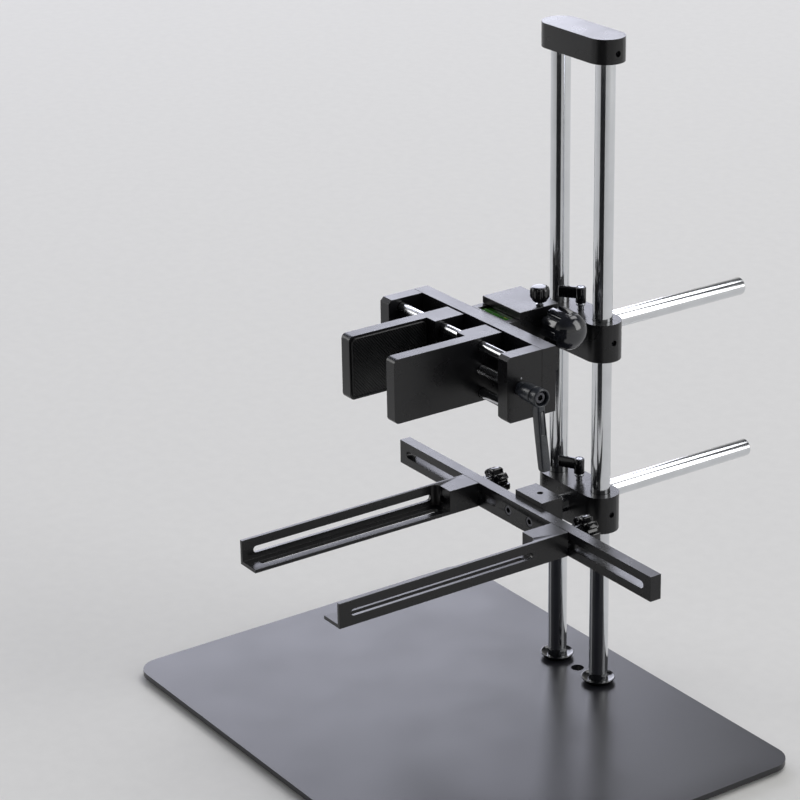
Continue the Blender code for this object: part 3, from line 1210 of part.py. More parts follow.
def build():
    base_plate()
    feet()
    for side, x in (("left", -COLUMN_X), ("right", COLUMN_X)):
        pieces = column(side, x), column_flange(side, x), column_bolt(side, x)
        smooth(*pieces)
    top_cap()
    crosshead("upper", UPPER_ROD_Z)
    crosshead("lower", LOWER_ROD_Z)
    smooth(horizontal_rod("upper", UPPER_ROD_FRONT, UPPER_ROD_Z),
           horizontal_rod("lower", LOWER_ROD_FRONT, LOWER_ROD_Z))
    thumb_screw("upper", UPPER_ROD_Z, UPPER_HANDLE_TURN)
    thumb_screw("lower", LOWER_ROD_Z, LOWER_HANDLE_TURN)
    head_body()
    head_level()
    head_top_plate()
    head_clamp_knob()
    head_lock_knob()
    back_bar()
    guide_rods()
    lead_screw()
    clamping_lever()
    lever_screw()
    bracket_block()
    crossbar()
    for side, sign, outer in (("left", -1, LEFT_ARM_OUTER), ("right", 1, RIGHT_ARM_OUTER)):
        end_plate(side, sign)
        jaw(side, sign)
        jaw_pad(side, sign)
        arm(side, sign, outer)
        star_knob(side, sign * (outer - ARM_STUD_INSET))
    assemble()


clear_scene()
PARTS = new_collection("camera_stand")
CUTTERS = new_collection("cutters")
build()
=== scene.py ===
"""Finishes for the twin-column camera stand, and a plain studio to see it in.

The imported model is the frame. Its machined pieces are copied with eased edges, and
its turned, moulded and threaded pieces are made again with their full detail.
Metres, +Z up, +X to the right of someone facing the front, +Y towards the back.
"""
import json
from math import cos, hypot, pi, radians, sin, sqrt, tau

import bmesh
import bpy
from mathutils import Matrix, Vector


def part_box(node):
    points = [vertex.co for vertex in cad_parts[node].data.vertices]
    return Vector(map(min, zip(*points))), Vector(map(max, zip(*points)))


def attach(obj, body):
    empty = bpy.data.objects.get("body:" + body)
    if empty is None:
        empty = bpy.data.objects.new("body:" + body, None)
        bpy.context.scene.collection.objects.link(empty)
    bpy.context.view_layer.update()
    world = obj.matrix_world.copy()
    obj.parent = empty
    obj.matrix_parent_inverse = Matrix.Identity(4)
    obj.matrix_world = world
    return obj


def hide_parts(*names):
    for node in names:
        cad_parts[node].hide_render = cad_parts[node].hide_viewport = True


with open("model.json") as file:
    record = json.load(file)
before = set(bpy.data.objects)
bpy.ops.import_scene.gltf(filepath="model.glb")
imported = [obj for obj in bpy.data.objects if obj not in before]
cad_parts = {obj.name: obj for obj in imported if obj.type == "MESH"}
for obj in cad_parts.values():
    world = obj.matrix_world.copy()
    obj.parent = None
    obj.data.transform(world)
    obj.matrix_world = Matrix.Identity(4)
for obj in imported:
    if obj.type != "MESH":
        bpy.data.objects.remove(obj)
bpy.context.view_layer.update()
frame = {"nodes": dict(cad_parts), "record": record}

BODY_OF = {node: body for body, nodes in frame["record"]["behaviour"]["bodies"].items()
           for node in nodes}
SLOT_OF = {row["node"]: row["material_slot"] for row in frame["record"]["subparts"]}
SIDES = {"left": -1, "right": 1}
MM = 0.001

# Turns a shape drawn along Z so that it lies along the named axis
ALONG = {
    "X": Matrix.Rotation(pi / 2, 4, "Y"),
    "Y": Matrix.Rotation(-pi / 2, 4, "X"),
    "Z": Matrix.Identity(4),
}

# Facets round a turned piece, and round one lobe of a knob
BAR_FACETS = 96
TURNED_FACETS = 72
GUIDE_ROD_FACETS = 64
SMALL_FACETS = 48
STUD_FACETS = 40
DOWEL_FACETS = 32
HEXAGON = 6
LOBE_FACETS = 14
HEAD_KNOB_LOBE_FACETS = 22
STAR_LOBE_FACETS = 20

# Faces that meet at less than these angles, in degrees, are shaded as one
SMOOTH_ANGLE = 35
LOBE_SMOOTH_ANGLE = 42
THREAD_SMOOTH_ANGLE = 28
PAD_SMOOTH_ANGLE = 50

# Eased edges of machined pieces, in millimetres
MACHINED_EDGE = 0.4
PLATE_EDGE = 0.5
ARM_EDGE = 0.3
STUD_EDGE = 0.3
SCREW_EDGE = 0.2

# Turned and moulded pieces, in millimetres. A profile's rows are a radius and how far
# along the axis it is; a knob's rows have the depth of its grooves between the two.
COLUMN_RADIUS = 8
COLUMN_CHAMFER = 0.8
ROD_RADIUS = 7.5
ROD_CHAMFER = 1.2
GUIDE_ROD_RADIUS = 3.97
GUIDE_ROD_CHAMFER = 0.5
FLANGE_PROFILE = [(8.3, 0.0), (11.6, 0.0), (11.9, 0.5), (12.6, 1.4), (13.9, 2.9),
                  (14.25, 3.5), (14.2, 3.85), (13.9, 4.0), (13.4, 3.95), (12.9, 3.55),
                  (11.6, 3.05), (9.6, 2.75), (8.6, 2.7), (8.3, 2.55)]
THUMB_HUB_PROFILE = [(3.5, 0.0), (4.0, 0.15), (4.3, 0.6), (4.3, 12.6), (4.1, 13.2),
                     (3.7, 13.5), (3.3, 13.5), (3.15, 13.3), (3.15, 12.7)]
THUMB_HOLE_PROFILE = [(3.15, 12.7), (3.15, 14.0)]
THUMB_WING = (18.8, 4.5, 9.6)       # length from the hub's axis, thickness and height
THUMB_WING_ROUNDING = 1.4
THUMB_WING_DROP = 0.5               # from the hub's top to the wing's top
THUMB_TURN = {"upper": 217, "lower": 207}   # degrees from +X to the wing
THUMB_NUT_WIDTH = 5.0               # across its flats
THUMB_NUT_RADIUS = THUMB_NUT_WIDTH / sqrt(3)
THUMB_NUT_PROFILE = [(THUMB_NUT_RADIUS, 12.5), (THUMB_NUT_RADIUS, 13.2),
                     (THUMB_NUT_RADIUS - 0.35, 13.45), (1.5, 13.45), (1.4, 13.2),
                     (0.3, 13.15)]
THUMB_STUD_PROFILE = [(2.1, 0.0), (2.45, 0.4), (2.45, 12.0), (2.9, 12.2), (3.7, 12.5),
                      (3.8, 12.9), (3.8, 14.0), (3.6, 14.3), (2.4, 14.35), (2.4, 14.6)]
HEAD_KNOB_LOBES = 9
HEAD_KNOB_PROFILE = [(6.2, 0.0, 0.0), (6.9, 0.0, 0.6), (7.0, 0.0, 4.6), (8.0, 0.0, 5.6),
                     (11.0, 0.5, 6.0), (14.2, 1.6, 6.2), (15.1, 2.1, 6.8),
                     (15.5, 2.3, 7.8), (15.5, 2.3, 24.1), (15.4, 2.3, 24.8),
                     (15.1, 0.2, 25.1), (14.9, 0.0, 25.4)]
HEAD_KNOB_DOME_START = 25.5
HEAD_KNOB_DOME = (14.8, 11.3)       # radius and height of the dome
HEAD_KNOB_DOME_STEP = 8             # degrees
HEAD_KNOB_FLANKS = (0.42, 0.62)
HEAD_KNOB_Y = 10.25                 # of its axis in the frame
LOCK_KNOB_LOBES = 9
LOCK_KNOB_FLANKS = (0.3, 0.95)
LOCK_KNOB_RADIUS = 7.9
LOCK_KNOB_PROFILE = [(3.4, 0.0, 0.0), (4.6, 0.1, 0.1), (5.6, 0.5, 0.8), (6.1, 0.8, 1.8),
                     (6.4, 0.9, 2.6), (7.2, 1.0, 3.4), (7.8, 1.1, 4.4), (7.9, 1.1, 5.4),
                     (7.9, 1.1, 9.6), (7.75, 1.0, 10.6), (7.3, 0.6, 11.6),
                     (6.8, 0.1, 12.1), (6.2, 0.0, 12.45), (5.4, 0.0, 12.62),
                     (3.4, 0.0, 12.68), (0.4, 0.0, 12.7)]
LOCK_STUD_PROFILE = [(1.7, 0.0), (2.0, 0.3), (2.0, 10.4), (3.0, 10.5), (3.1, 10.8),
                     (3.1, 11.5), (2.0, 11.7), (2.0, 13.6)]
LOCK_KNOB_BASE = 358.5              # above the floor
STAR_LOBES = 8
STAR_FLANKS = (0.45, 0.8)
STAR_LENGTH = 21.5                  # from its foot to the rim of its face
STAR_PROFILE = [(5.9, 0.0, 0.0), (6.4, 0.0, 0.3), (6.5, 0.0, 0.8), (6.5, 0.0, 9.6),
                (6.9, 0.0, 10.2), (10.0, 1.2, 10.4), (12.4, 3.0, 10.7), (13.2, 3.6, 11.2),
                (13.5, 3.9, 12.0), (13.5, 3.9, 19.4), (13.2, 3.6, 20.3),
                (12.4, 3.0, 21.0), (10.6, 1.4, 21.3), (8.6, 0.1, 21.4),
                (6.8, 0.0, 21.5), (6.4, 0.0, 21.45), (6.1, 0.0, 20.8),
                (3.0, 0.0, 20.6), (0.4, 0.0, 20.55)]
STAR_STUD_PROFILE = [(2.2, 0.0), (2.75, 0.6), (2.75, 29.4)]
FOOT_PROFILE = [(9.2, 0.0), (9.75, 0.2), (9.95, 0.7), (9.95, 2.1), (9.7, 2.5), (9.2, 2.7)]
VIAL_CROWN_PROFILE = [(2.3, 0.0), (3.0, 0.2), (3.35, 0.7), (3.4, 1.4), (3.4, 32.6),
                      (3.35, 33.3), (3.0, 33.8), (2.3, 34.0)]
VIAL_CROWN_RISE = 0.6               # of the crown above the block
VIAL_BLOCK_ROUNDING = 0.6
VIAL_RING_PROFILE = [(3.35, 0.0), (3.46, 0.05), (3.46, 0.55), (3.35, 0.6), (3.1, 0.5),
                     (3.1, 0.1)]
VIAL_RING_PLACES = (-5.0, 4.4)      # along X, as the bubble's start is
VIAL_BUBBLE_PROFILE = [(0.4, 0.0), (1.2, 0.4), (1.7, 1.3), (1.9, 2.6), (1.9, 5.9),
                       (1.7, 7.2), (1.2, 8.1), (0.4, 8.5)]
VIAL_BUBBLE_START = 6.4
VIAL_BUBBLE_RISE = 1.56             # of its axis above the barrel's
DOWEL_PROFILE = [(0.95, 0.0), (0.95, 3.0), (0.8, 3.2), (0.3, 3.3)]
DOWEL_PLACE = (82.6, -63.6, 329.8)  # of its inner end

# Clamping lever, in millimetres from the end plate's face and from the screw's axis
LEVER_HUB_PROFILE = [(5.2, 0.0), (5.7, 0.3), (5.8, 0.8), (5.8, 3.6), (6.0, 4.4),
                     (6.7, 5.6), (6.85, 6.4), (7.2, 17.6), (7.1, 18.2), (6.3, 18.5),
                     (6.1, 18.9), (6.1, 19.3), (6.4, 19.6), (7.3, 19.8), (7.5, 20.4),
                     (7.5, 26.0), (7.35, 26.6), (6.95, 26.95), (6.6, 27.0), (6.2, 26.85),
                     (5.9, 26.5), (5.8, 26.1), (5.8, 20.1)]
LEVER_RECESS = (5.8, 20.1)      # radius, and where its floor is
LEVER_SECTIONS = [              # height, inner x, outer x, width along Y
    (-1.0, 20.4, 26.0, 6.6), (-6.0, 20.0, 26.5, 6.8), (-9.0, 18.9, 26.8, 6.9),
    (-14.0, 18.6, 27.4, 6.9), (-22.0, 19.9, 28.5, 7.1), (-32.0, 21.8, 30.0, 7.5),
    (-42.0, 23.9, 31.6, 7.9), (-52.0, 26.0, 33.1, 8.2), (-56.6, 27.0, 33.8, 8.2),
    (-57.7, 27.8, 33.5, 7.4), (-58.0, 28.6, 32.9, 6.4)]
LEVER_ARM_ROUNDING = 1.5
# The sunk panel and the raised strip in it: both ends, then width and depth
LEVER_PANEL = ((-10.4, 26.9), (-29.5, 29.65), 4.4, 1.1)
LEVER_PLAQUE = ((-11.2, 25.95), (-28.9, 28.4), 3.0, 0.8)
LEVER_STRIP_EDGE = 0.25

# Lead screw, in millimetres
THREAD_LEAD = 4.0               # two starts of 2 mm pitch: 4 mm a turn
THREAD_STARTS = 2
THREAD_RADIUS = 3.95
THREAD_DEPTH = 0.25
# Over one pitch: 0 on the crest or 1 in the groove, and the share of the pitch
THREAD_STEPS = ((0, 0.0), (0, 0.78), (1, 0.84), (1, 0.94))
THREAD_FACETS = 32
THREAD_INNER_END = 5.0          # from the middle of the stand
THREAD_OUTER_END = 74.5
SCREW_PLAIN_RADIUS = 3.97
SCREW_PLAIN_EDGE = 0.4
SCREW_PLAIN_OVERLAP = 0.1       # into the thread

# Jaw pads, in millimetres
PAD_CORNER = 4.2
PAD_RIM = 1.0
PAD_MOAT = 0.3
PAD_RECESS = 1.0
# The rim's outline, as steps in from the pad's edge and down from its face
PAD_RIM_STEPS = ((0, 0.5), (0.12, 0.18), (0.45, 0), (PAD_RIM - 0.3, 0),
                 (PAD_RIM - 0.08, 0.12), (PAD_RIM, 0.35), (PAD_RIM, PAD_RECESS),
                 (PAD_RIM + PAD_MOAT, PAD_RECESS))
PAD_RIB_HEIGHT = 0.95
PAD_RIB_PITCH = 1.9
PAD_RIB_WIDTH = 1.15
PAD_RIB_TAPER = 0.45            # share of its width that a rib loses at its top
PAD_RIB_SLOPE = 50              # degrees
PAD_RIB_REACH = 60              # more than half of a pad's diagonal
PAD_RIB_TOLERANCE = 0.01


# Shader helpers

NOISE_RANGE = (0.3, 0.7)        # the part of a noise that is spread over two values


def srgb(hex_colour, alpha=1):
    """A hex colour as linear numbers."""
    channels = [int(hex_colour[i:i + 2], 16) / 255 for i in (1, 3, 5)]
    return [c / 12.92 if c <= 0.04045 else ((c + 0.055) / 1.055) ** 2.4
            for c in channels] + [alpha]


def add(tree, kind, inputs=None, **settings):
    """Adds a node; each input is a value, or the output socket that feeds it."""
    node = tree.nodes.new(kind)
    for name, value in settings.items():
        setattr(node, name, value)
    for name, value in (inputs or {}).items():
        if isinstance(value, bpy.types.NodeSocket):
            tree.links.new(value, node.inputs[name])
        else:
            node.inputs[name].default_value = value
    return node


def finish(name, patterns, tones, roughness, relief=None, **plain):
    """Builds a material whose tone, gloss and relief each follow a pattern. A pattern is
    a soft noise in place on the piece: its size in mm, its detail, and how much it is
    squeezed along X, Y and Z. Tones are two colours, roughness is two values, and relief
    is a depth in mm and a strength."""
    material = bpy.data.materials.new(name)
    material.use_nodes = True
    tree = material.node_tree
    tree.nodes.clear()
    place = add(tree, "ShaderNodeTexCoord").outputs["Object"]
    noises = {}
    for pattern, (size_mm, detail, *squeeze) in patterns.items():
        mapped = add(tree, "ShaderNodeMapping",
                     {"Vector": place, "Scale": squeeze or (1, 1, 1)})
        noise = add(tree, "ShaderNodeTexNoise",
                    {"Vector": mapped.outputs["Vector"], "Scale": 1 / (size_mm * MM),
                     "Detail": detail})
        noises[pattern] = noise.outputs["Fac"]
    pattern, *colours = tones
    ramp = add(tree, "ShaderNodeValToRGB", {"Fac": noises[pattern]})
    for element, position, colour in zip(ramp.color_ramp.elements, NOISE_RANGE, colours):
        element.position = position
        element.color = srgb(colour)
    pattern, low, high = roughness
    gloss = add(tree, "ShaderNodeMapRange",
                {"Value": noises[pattern], "From Min": NOISE_RANGE[0],
                 "From Max": NOISE_RANGE[1], "To Min": low, "To Max": high})
    sockets = {"Base Color": ramp.outputs["Color"], "Roughness": gloss.outputs["Result"]}
    if relief:
        pattern, depth_mm, strength = relief
        bump = add(tree, "ShaderNodeBump",
                   {"Strength": strength, "Distance": depth_mm * MM,
                    "Height": noises[pattern]})
        sockets["Normal"] = bump.outputs["Normal"]
    shader = add(tree, "ShaderNodeBsdfPrincipled", {**sockets, **plain})
    add(tree, "ShaderNodeOutputMaterial", {"Surface": shader.outputs["BSDF"]})
    return material


# Finishes

def anodised_aluminium():
    """Bead-blasted, black anodised aluminium: a silky skin that stays near black face
    on and turns pale at a low angle. The blast grit is about 0.15 mm and is drawn at
    0.45 mm so that it shows; handling leaves slightly shinier clouds."""
    return finish("black_anodised_aluminium", {"clouds": (26, 4), "grit": (0.45, 3)},
                  tones=("clouds", "#0F0F11", "#141416"),
                  roughness=("clouds", 0.25, 0.31), relief=("grit", 0.02, 0.3), IOR=1.46)


def powder_coated_steel():
    """Fine-texture powder coat on laser-cut steel plate: softer and greyer than the
    anodised parts. Its orange peel is about 0.7 mm across."""
    return finish("powder_coated_steel", {"clouds": (60, 3), "peel": (0.7, 3)},
                  tones=("clouds", "#1C1C20", "#222226"),
                  roughness=("clouds", 0.28, 0.34), relief=("peel", 0.03, 0.3), IOR=1.5)


def coated_die_casting():
    """Zinc die casting with a wrinkle powder coat: blue-black, with a fine grain of
    about 0.45 mm and a soft shine on its edges."""
    return finish("wrinkle_coated_die_casting", {"clouds": (8, 3), "grain": (0.45, 3)},
                  tones=("clouds", "#22252B", "#2C3037"),
                  roughness=("grain", 0.24, 0.36), relief=("grain", 0.05, 0.45), IOR=1.6)


def hard_chrome():
    """Ground bar with polished hard chrome: a mirror with slight clouding, and a faint
    waviness from grinding, which is finer than the 0.8 mm drawn here."""
    return finish("hard_chrome_on_ground_steel", {"clouds": (15, 3), "waves": (0.8, 1)},
                  tones=("clouds", "#D6D8DB", "#DEE0E3"), Metallic=1,
                  roughness=("clouds", 0.09, 0.13), relief=("waves", 0.002, 0.05))


def ground_steel():
    """Centreless-ground guide rod, hardened and left bare: bright, with a satin veil
    that softens its highlights."""
    return finish("centreless_ground_steel", {"veil": (6, 3)},
                  tones=("veil", "#C6C7CA", "#D3D4D6"), Metallic=1,
                  roughness=("veil", 0.17, 0.23), relief=("veil", 0.003, 0.05))


def black_oxide_steel():
    """Heat-treated screw steel, blackened and oiled: dark metal with an uneven sheen
    in patches of a few millimetres."""
    return finish("black_oxide_screw_steel", {"oil": (2.2, 4)},
                  tones=("oil", "#4C4C50", "#66666B"), Metallic=1,
                  roughness=("oil", 0.20, 0.32), relief=("oil", 0.02, 0.2))


def zinc_plated_steel():
    """Bright zinc-plated studs and inserts: silvery and slightly cloudy."""
    return finish("zinc_plated_steel", {"clouds": (1.5, 3)},
                  tones=("clouds", "#9A9CA0", "#AEB0B4"), Metallic=1,
                  roughness=("clouds", 0.20, 0.30), relief=("clouds", 0.01, 0.15))


def polished_moulding():
    """Knob plastic from a polished mould: deep black with sharp highlights, gently
    wavy over a few millimetres where the plastic shrank."""
    return finish("polished_black_moulding", {"waves": (4, 2)},
                  tones=("waves", "#0A0A0C", "#0F0F12"),
                  roughness=("waves", 0.09, 0.15), relief=("waves", 0.05, 0.12), IOR=1.55)


def gloss_lacquer():
    """Stove lacquer on the head's big knob: blue-black and deep, with a strong clear
    shine and slow waves left by the spray."""
    return finish("gloss_lacquered_aluminium", {"waves": (6, 2)},
                  tones=("waves", "#191B20", "#21232A"),
                  roughness=("waves", 0.10, 0.16), relief=("waves", 0.03, 0.1), IOR=1.7)


def moulded_rubber():
    """Compression-moulded rubber: matt, near black, with a dusty bloom over a grain
    of about 0.35 mm."""
    return finish("moulded_black_rubber", {"bloom": (9, 5), "grain": (0.35, 2)},
                  tones=("bloom", "#111113", "#19191B"),
                  roughness=("bloom", 0.36, 0.48), relief=("grain", 0.03, 0.3), IOR=1.5)


def green_spirit():
    """A clear acrylic tube of green spirit, seen as the colour of the fluid: deep green,
    with lighter patches that are painted light coming through the fluid, under a polished
    surface."""
    # The "depth" pattern spreads painted light: its lighter tone stands for light coming
    # through the fluid
    return finish("green_spirit_in_acrylic", {"depth": (7, 2, 1, 0.4, 0.4)},
                  tones=("depth", "#1A5210", "#3A7C1A"),
                  roughness=("depth", 0.05, 0.09), IOR=1.49)


def air_bubble():
    """The bubble: its pale colour is painted light, standing for the light that comes
    through it with little fluid in the way.
    """
    # The two pale tones are painted light coming through the bubble
    return finish("bubble_in_green_spirit", {"painted_glow": (3, 1)},
                  tones=("painted_glow", "#6E7A22", "#A3A24A"),
                  roughness=("painted_glow", 0.05, 0.10), IOR=1.4)


def seamless_paper():
    """Matt background paper, faintly mottled by its fibres."""
    return finish("seamless_paper", {"fibres": (14, 3)},
                  tones=("fibres", "#D9D8D5", "#DCDBD8"), roughness=("fibres", 0.86, 0.92))


def black_paper():
    """Matt black card, with the same faint mottle."""
    return finish("black_card", {"fibres": (14, 3)},
                  tones=("fibres", "#0C0C0D", "#101011"), roughness=("fibres", 0.86, 0.92))


FINISH = {
    "plate_coating": powder_coated_steel(),
    "black_anodised": anodised_aluminium(),
    "chrome": hard_chrome(),
    "black_steel": black_oxide_steel(),
    "glossy_plastic": polished_moulding(),
    "die_cast_black": coated_die_casting(),
    "black_rubber": moulded_rubber(),
    "green_vial": green_spirit(),
}
BRIGHT_STEEL = zinc_plated_steel()
GROUND_STEEL = ground_steel()
LACQUER = gloss_lacquer()
BUBBLE = air_bubble()


# Shape helpers

def smooth_mesh(bm, name, angle=SMOOTH_ANGLE):
    """Turns an edit mesh into a mesh whose faces all point out."""
    bmesh.ops.recalc_face_normals(bm, faces=bm.faces)
    mesh = bpy.data.meshes.new(name)
    bm.to_mesh(mesh)
    bm.free()
    mesh.shade_smooth()
    mesh.set_sharp_from_angle(angle=radians(angle))
    return mesh


def new_object(name, mesh):
    """A new piece in the scene, with its origin at the frame's."""
    piece = bpy.data.objects.new(name, mesh)
    bpy.context.scene.collection.objects.link(piece)
    return piece


def ease_edges(piece, width_mm, segments):
    """Rounds the sharp edges, as tumbling or a deburring tool leaves them."""
    bevel = piece.modifiers.new("Eased edges", "BEVEL")
    bevel.width = width_mm * MM
    bevel.segments = segments
    bevel.limit_method = "ANGLE"
    bevel.angle_limit = radians(SMOOTH_ANGLE)
    bevel.harden_normals = True


def finished(piece, body, slot, material=None):
    """Gives a piece its finish and the body that carries it."""
    piece.data.materials.clear()
    piece.data.materials.append(material or FINISH[slot])
    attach(piece, body)


def stand_for(piece, node):
    """The piece takes the place, the body and the finish of a CAD node."""
    finished(piece, BODY_OF[node], SLOT_OF[node])
    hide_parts(node)
    return piece


def middle(node):
    """The middle of a CAD node's box, in metres."""
    low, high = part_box(node)
    return (low + high) / 2


def machined(node, edge_mm=MACHINED_EDGE, segments=2):
    """A copy of a CAD node with its flat faces whole and its edges eased."""
    bm = bmesh.new()
    bm.from_mesh(frame["nodes"][node].data)
    bmesh.ops.remove_doubles(bm, verts=bm.verts, dist=0.000002)
    bmesh.ops.dissolve_limit(bm, angle_limit=radians(0.5), verts=bm.verts,
                             edges=bm.edges, use_dissolve_boundaries=False)
    piece = new_object(node + "_finished", smooth_mesh(bm, node + "_finished"))
    ease_edges(piece, edge_mm, segments)
    stand_for(piece, node)


def skin(rings, name, closed_ends=True, angle=SMOOTH_ANGLE):
    """Skins a stack of equal rings of points: capped, or closed back on itself."""
    bm = bmesh.new()
    rows = [[bm.verts.new(point) for point in ring] for ring in rings]
    count = len(rows[0])
    pairs = list(zip(rows, rows[1:]))
    if not closed_ends:
        pairs.append((rows[-1], rows[0]))
    for lower, upper in pairs:
        for i in range(count):
            j = (i + 1) % count
            bm.faces.new((lower[i], lower[j], upper[j], upper[i]))
    if closed_ends:
        bm.faces.new(rows[0])
        bm.faces.new(rows[-1])
    return new_object(name, smooth_mesh(bm, name, angle))


def placed(at_mm, axis):
    """From millimetres along Z to metres along an axis, from a point on it."""
    return Matrix.Translation(Vector(at_mm) * MM) @ ALONG[axis] @ Matrix.Scale(MM, 4)


def turned(name, profile, at_mm, axis, facets=TURNED_FACETS, hollow=False):
    """A turned piece: (radius, distance along the axis) from one end to the other."""
    place = placed(at_mm, axis)
    rings = [[place @ Vector((radius * cos(tau * i / facets),
                              radius * sin(tau * i / facets), along))
              for i in range(facets)] for radius, along in profile]
    return skin(rings, name, not hollow)


def gripped(name, profile, lobes, at_mm, axis, flanks, facets=LOBE_FACETS):
    """A knob: (radius, groove depth, distance along), grooved between its lobes. The
    flanks are where a groove starts and ends its descent, from 0 at a lobe's middle
    to 1 at the groove's."""
    place = placed(at_mm, axis)
    count = lobes * facets
    rings = []
    for radius, depth, along in profile:
        ring = []
        for i in range(count):
            turn = tau * i / count
            across = (1 - cos(lobes * turn)) / 2
            part = min(max((across - flanks[0]) / (flanks[1] - flanks[0]), 0), 1)
            groove = part * part * (3 - 2 * part)
            reach = radius - depth * groove
            ring.append(place @ Vector((reach * cos(turn), reach * sin(turn), along)))
        rings.append(ring)
    return skin(rings, name, angle=LOBE_SMOOTH_ANGLE)


def bar_profile(radius, length, edge, steps=4):
    """A bar's profile with round edges at both ends."""
    turns = [pi / 2 * i / steps for i in range(steps + 1)]
    return ([(radius - edge + edge * sin(turn), edge - edge * cos(turn)) for turn in turns]
            + [(radius - edge + edge * cos(turn), length - edge + edge * sin(turn))
               for turn in turns])


def rounded_block(name, size_mm, at_mm, rounding_mm, turn=0):
    """A block with round edges that starts at its own origin and runs along X."""
    bm = bmesh.new()
    bmesh.ops.create_cube(bm, size=1)
    bm.transform(Matrix.Translation((0.5, 0, 0)))
    bm.transform(Matrix.Diagonal((*[value * MM for value in size_mm], 1)))
    bmesh.ops.bevel(bm, geom=bm.edges[:], offset=rounding_mm * MM, segments=4,
                    affect="EDGES", profile=0.5)
    bm.transform(Matrix.Translation(Vector(at_mm) * MM) @ Matrix.Rotation(turn, 4, "Z"))
    return new_object(name, smooth_mesh(bm, name))


def combine(piece, other, operation):
    """Joins or cuts one piece with another, which is then removed."""
    modifier = piece.modifiers.new("Combine", "BOOLEAN")
    modifier.operation = operation
    modifier.solver = "EXACT"
    modifier.object = other
    graph = bpy.context.evaluated_depsgraph_get()
    mesh = bpy.data.meshes.new_from_object(piece.evaluated_get(graph))
    piece.modifiers.clear()
    piece.data = mesh
    bpy.data.objects.remove(other)
    mesh.shade_smooth()
    mesh.set_sharp_from_angle(angle=radians(SMOOTH_ANGLE))


def rounded_outline(low, high, radius, steps=8):
    """Corners of a rounded rectangle, anticlockwise from the low corner's right."""
    points = []
    corners = ((high[0], low[1], -90), (high[0], high[1], 0), (low[0], high[1], 90),
               (low[0], low[1], 180))
    for x, y, start in corners:
        centre_x = x - radius if x == high[0] else x + radius
        centre_y = y - radius if y == high[1] else y + radius
        for i in range(steps + 1):
            turn = radians(start + 90 * i / steps)
            points.append((centre_x + radius * cos(turn), centre_y + radius * sin(turn)))
    return points


# Turned bars and flanges

def bar(node, axis, radius, edge, facets=BAR_FACETS):
    """A plain bar with round edges, as long as its CAD node."""
    low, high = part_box(node)
    index = "XYZ".index(axis)
    at = list(middle(node) / MM)
    at[index] = low[index] / MM
    length = (high - low)[index] / MM
    piece = turned(node + "_bar", bar_profile(radius, length, edge), at, axis, facets)
    return stand_for(piece, node)


def columns_and_rods():
    """Two columns in their dished flanges, the two reach rods and the clamp's guides."""
    for side in SIDES:
        bar("column_" + side, "Z", COLUMN_RADIUS, COLUMN_CHAMFER)
        node = "column_flange_" + side
        centre = middle(node) / MM
        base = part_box(node)[0].z / MM
        flange = turned(node + "_bowl", FLANGE_PROFILE, (centre.x, centre.y, base), "Z",
                        BAR_FACETS, hollow=True)
        stand_for(flange, node)
    for level in ("upper", "lower"):
        bar(level + "_rod", "Y", ROD_RADIUS, ROD_CHAMFER)
        guide = bar("guide_rod_" + level, "X", GUIDE_ROD_RADIUS, GUIDE_ROD_CHAMFER,
                    GUIDE_ROD_FACETS)
        guide.data.materials[0] = GROUND_STEEL


def feet():
    """Four rubber feet, which bulge a little under the plate."""
    for end in ("front", "rear"):
        for side in SIDES:
            node = "foot_%s_%s" % (end, side)
            centre = middle(node) / MM
            foot = turned(node + "_rubber", FOOT_PROFILE, (centre.x, centre.y, 0), "Z")
            stand_for(foot, node)


# Machined pieces and screws

def machined_pieces():
    """The plate, and the blocks and bars cut from aluminium."""
    for node in ("base_plate", "top_cap", "upper_crosshead", "lower_crosshead"):
        machined(node, PLATE_EDGE, 3)
    for node in ("head_body", "head_top_plate", "clamp_back_bar", "bracket_block",
                 "crossbar"):
        machined(node)
    for side in SIDES:
        machined("clamp_end_plate_" + side)
        machined("jaw_" + side)
        machined("arm_" + side, ARM_EDGE)


def screws():
    """The bolts, socket screws and set screws, which alone have the black steel slot."""
    for node, slot in SLOT_OF.items():
        if slot == "black_steel":
            machined(node, SCREW_EDGE)


# Knobs and handles

def head_knobs():
    """The head's domed clamping knob with its stud, and the small lock knob on top."""
    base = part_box("head_clamp_knob")[0].x / MM
    axis = middle("head_clamp_knob") / MM
    dome_radius, dome_height = HEAD_KNOB_DOME
    dome = [(dome_radius * cos(turn), 0, HEAD_KNOB_DOME_START + dome_height * sin(turn))
            for turn in map(radians, range(0, 89, HEAD_KNOB_DOME_STEP))]
    knob = gripped("head_clamp_knob_dome", HEAD_KNOB_PROFILE + dome, HEAD_KNOB_LOBES,
                   (base, HEAD_KNOB_Y, axis.z), "X", HEAD_KNOB_FLANKS,
                   HEAD_KNOB_LOBE_FACETS)
    stand_for(knob, "head_clamp_knob")
    knob.data.materials[0] = LACQUER
    machined("head_clamp_stud", STUD_EDGE)
    centre = middle("head_lock_knob") / MM
    lock_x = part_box("head_lock_knob")[1].x / MM - LOCK_KNOB_RADIUS
    knob = gripped("head_lock_knob_cap", LOCK_KNOB_PROFILE, LOCK_KNOB_LOBES,
                   (lock_x, centre.y, LOCK_KNOB_BASE), "Z", LOCK_KNOB_FLANKS)
    stand_for(knob, "head_lock_knob")
    stud = turned("head_lock_stud", LOCK_STUD_PROFILE,
                  (lock_x, centre.y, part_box("head_lock_knob")[0].z / MM), "Z",
                  STUD_FACETS)
    finished(stud, "head_lock", "chrome", BRIGHT_STEEL)


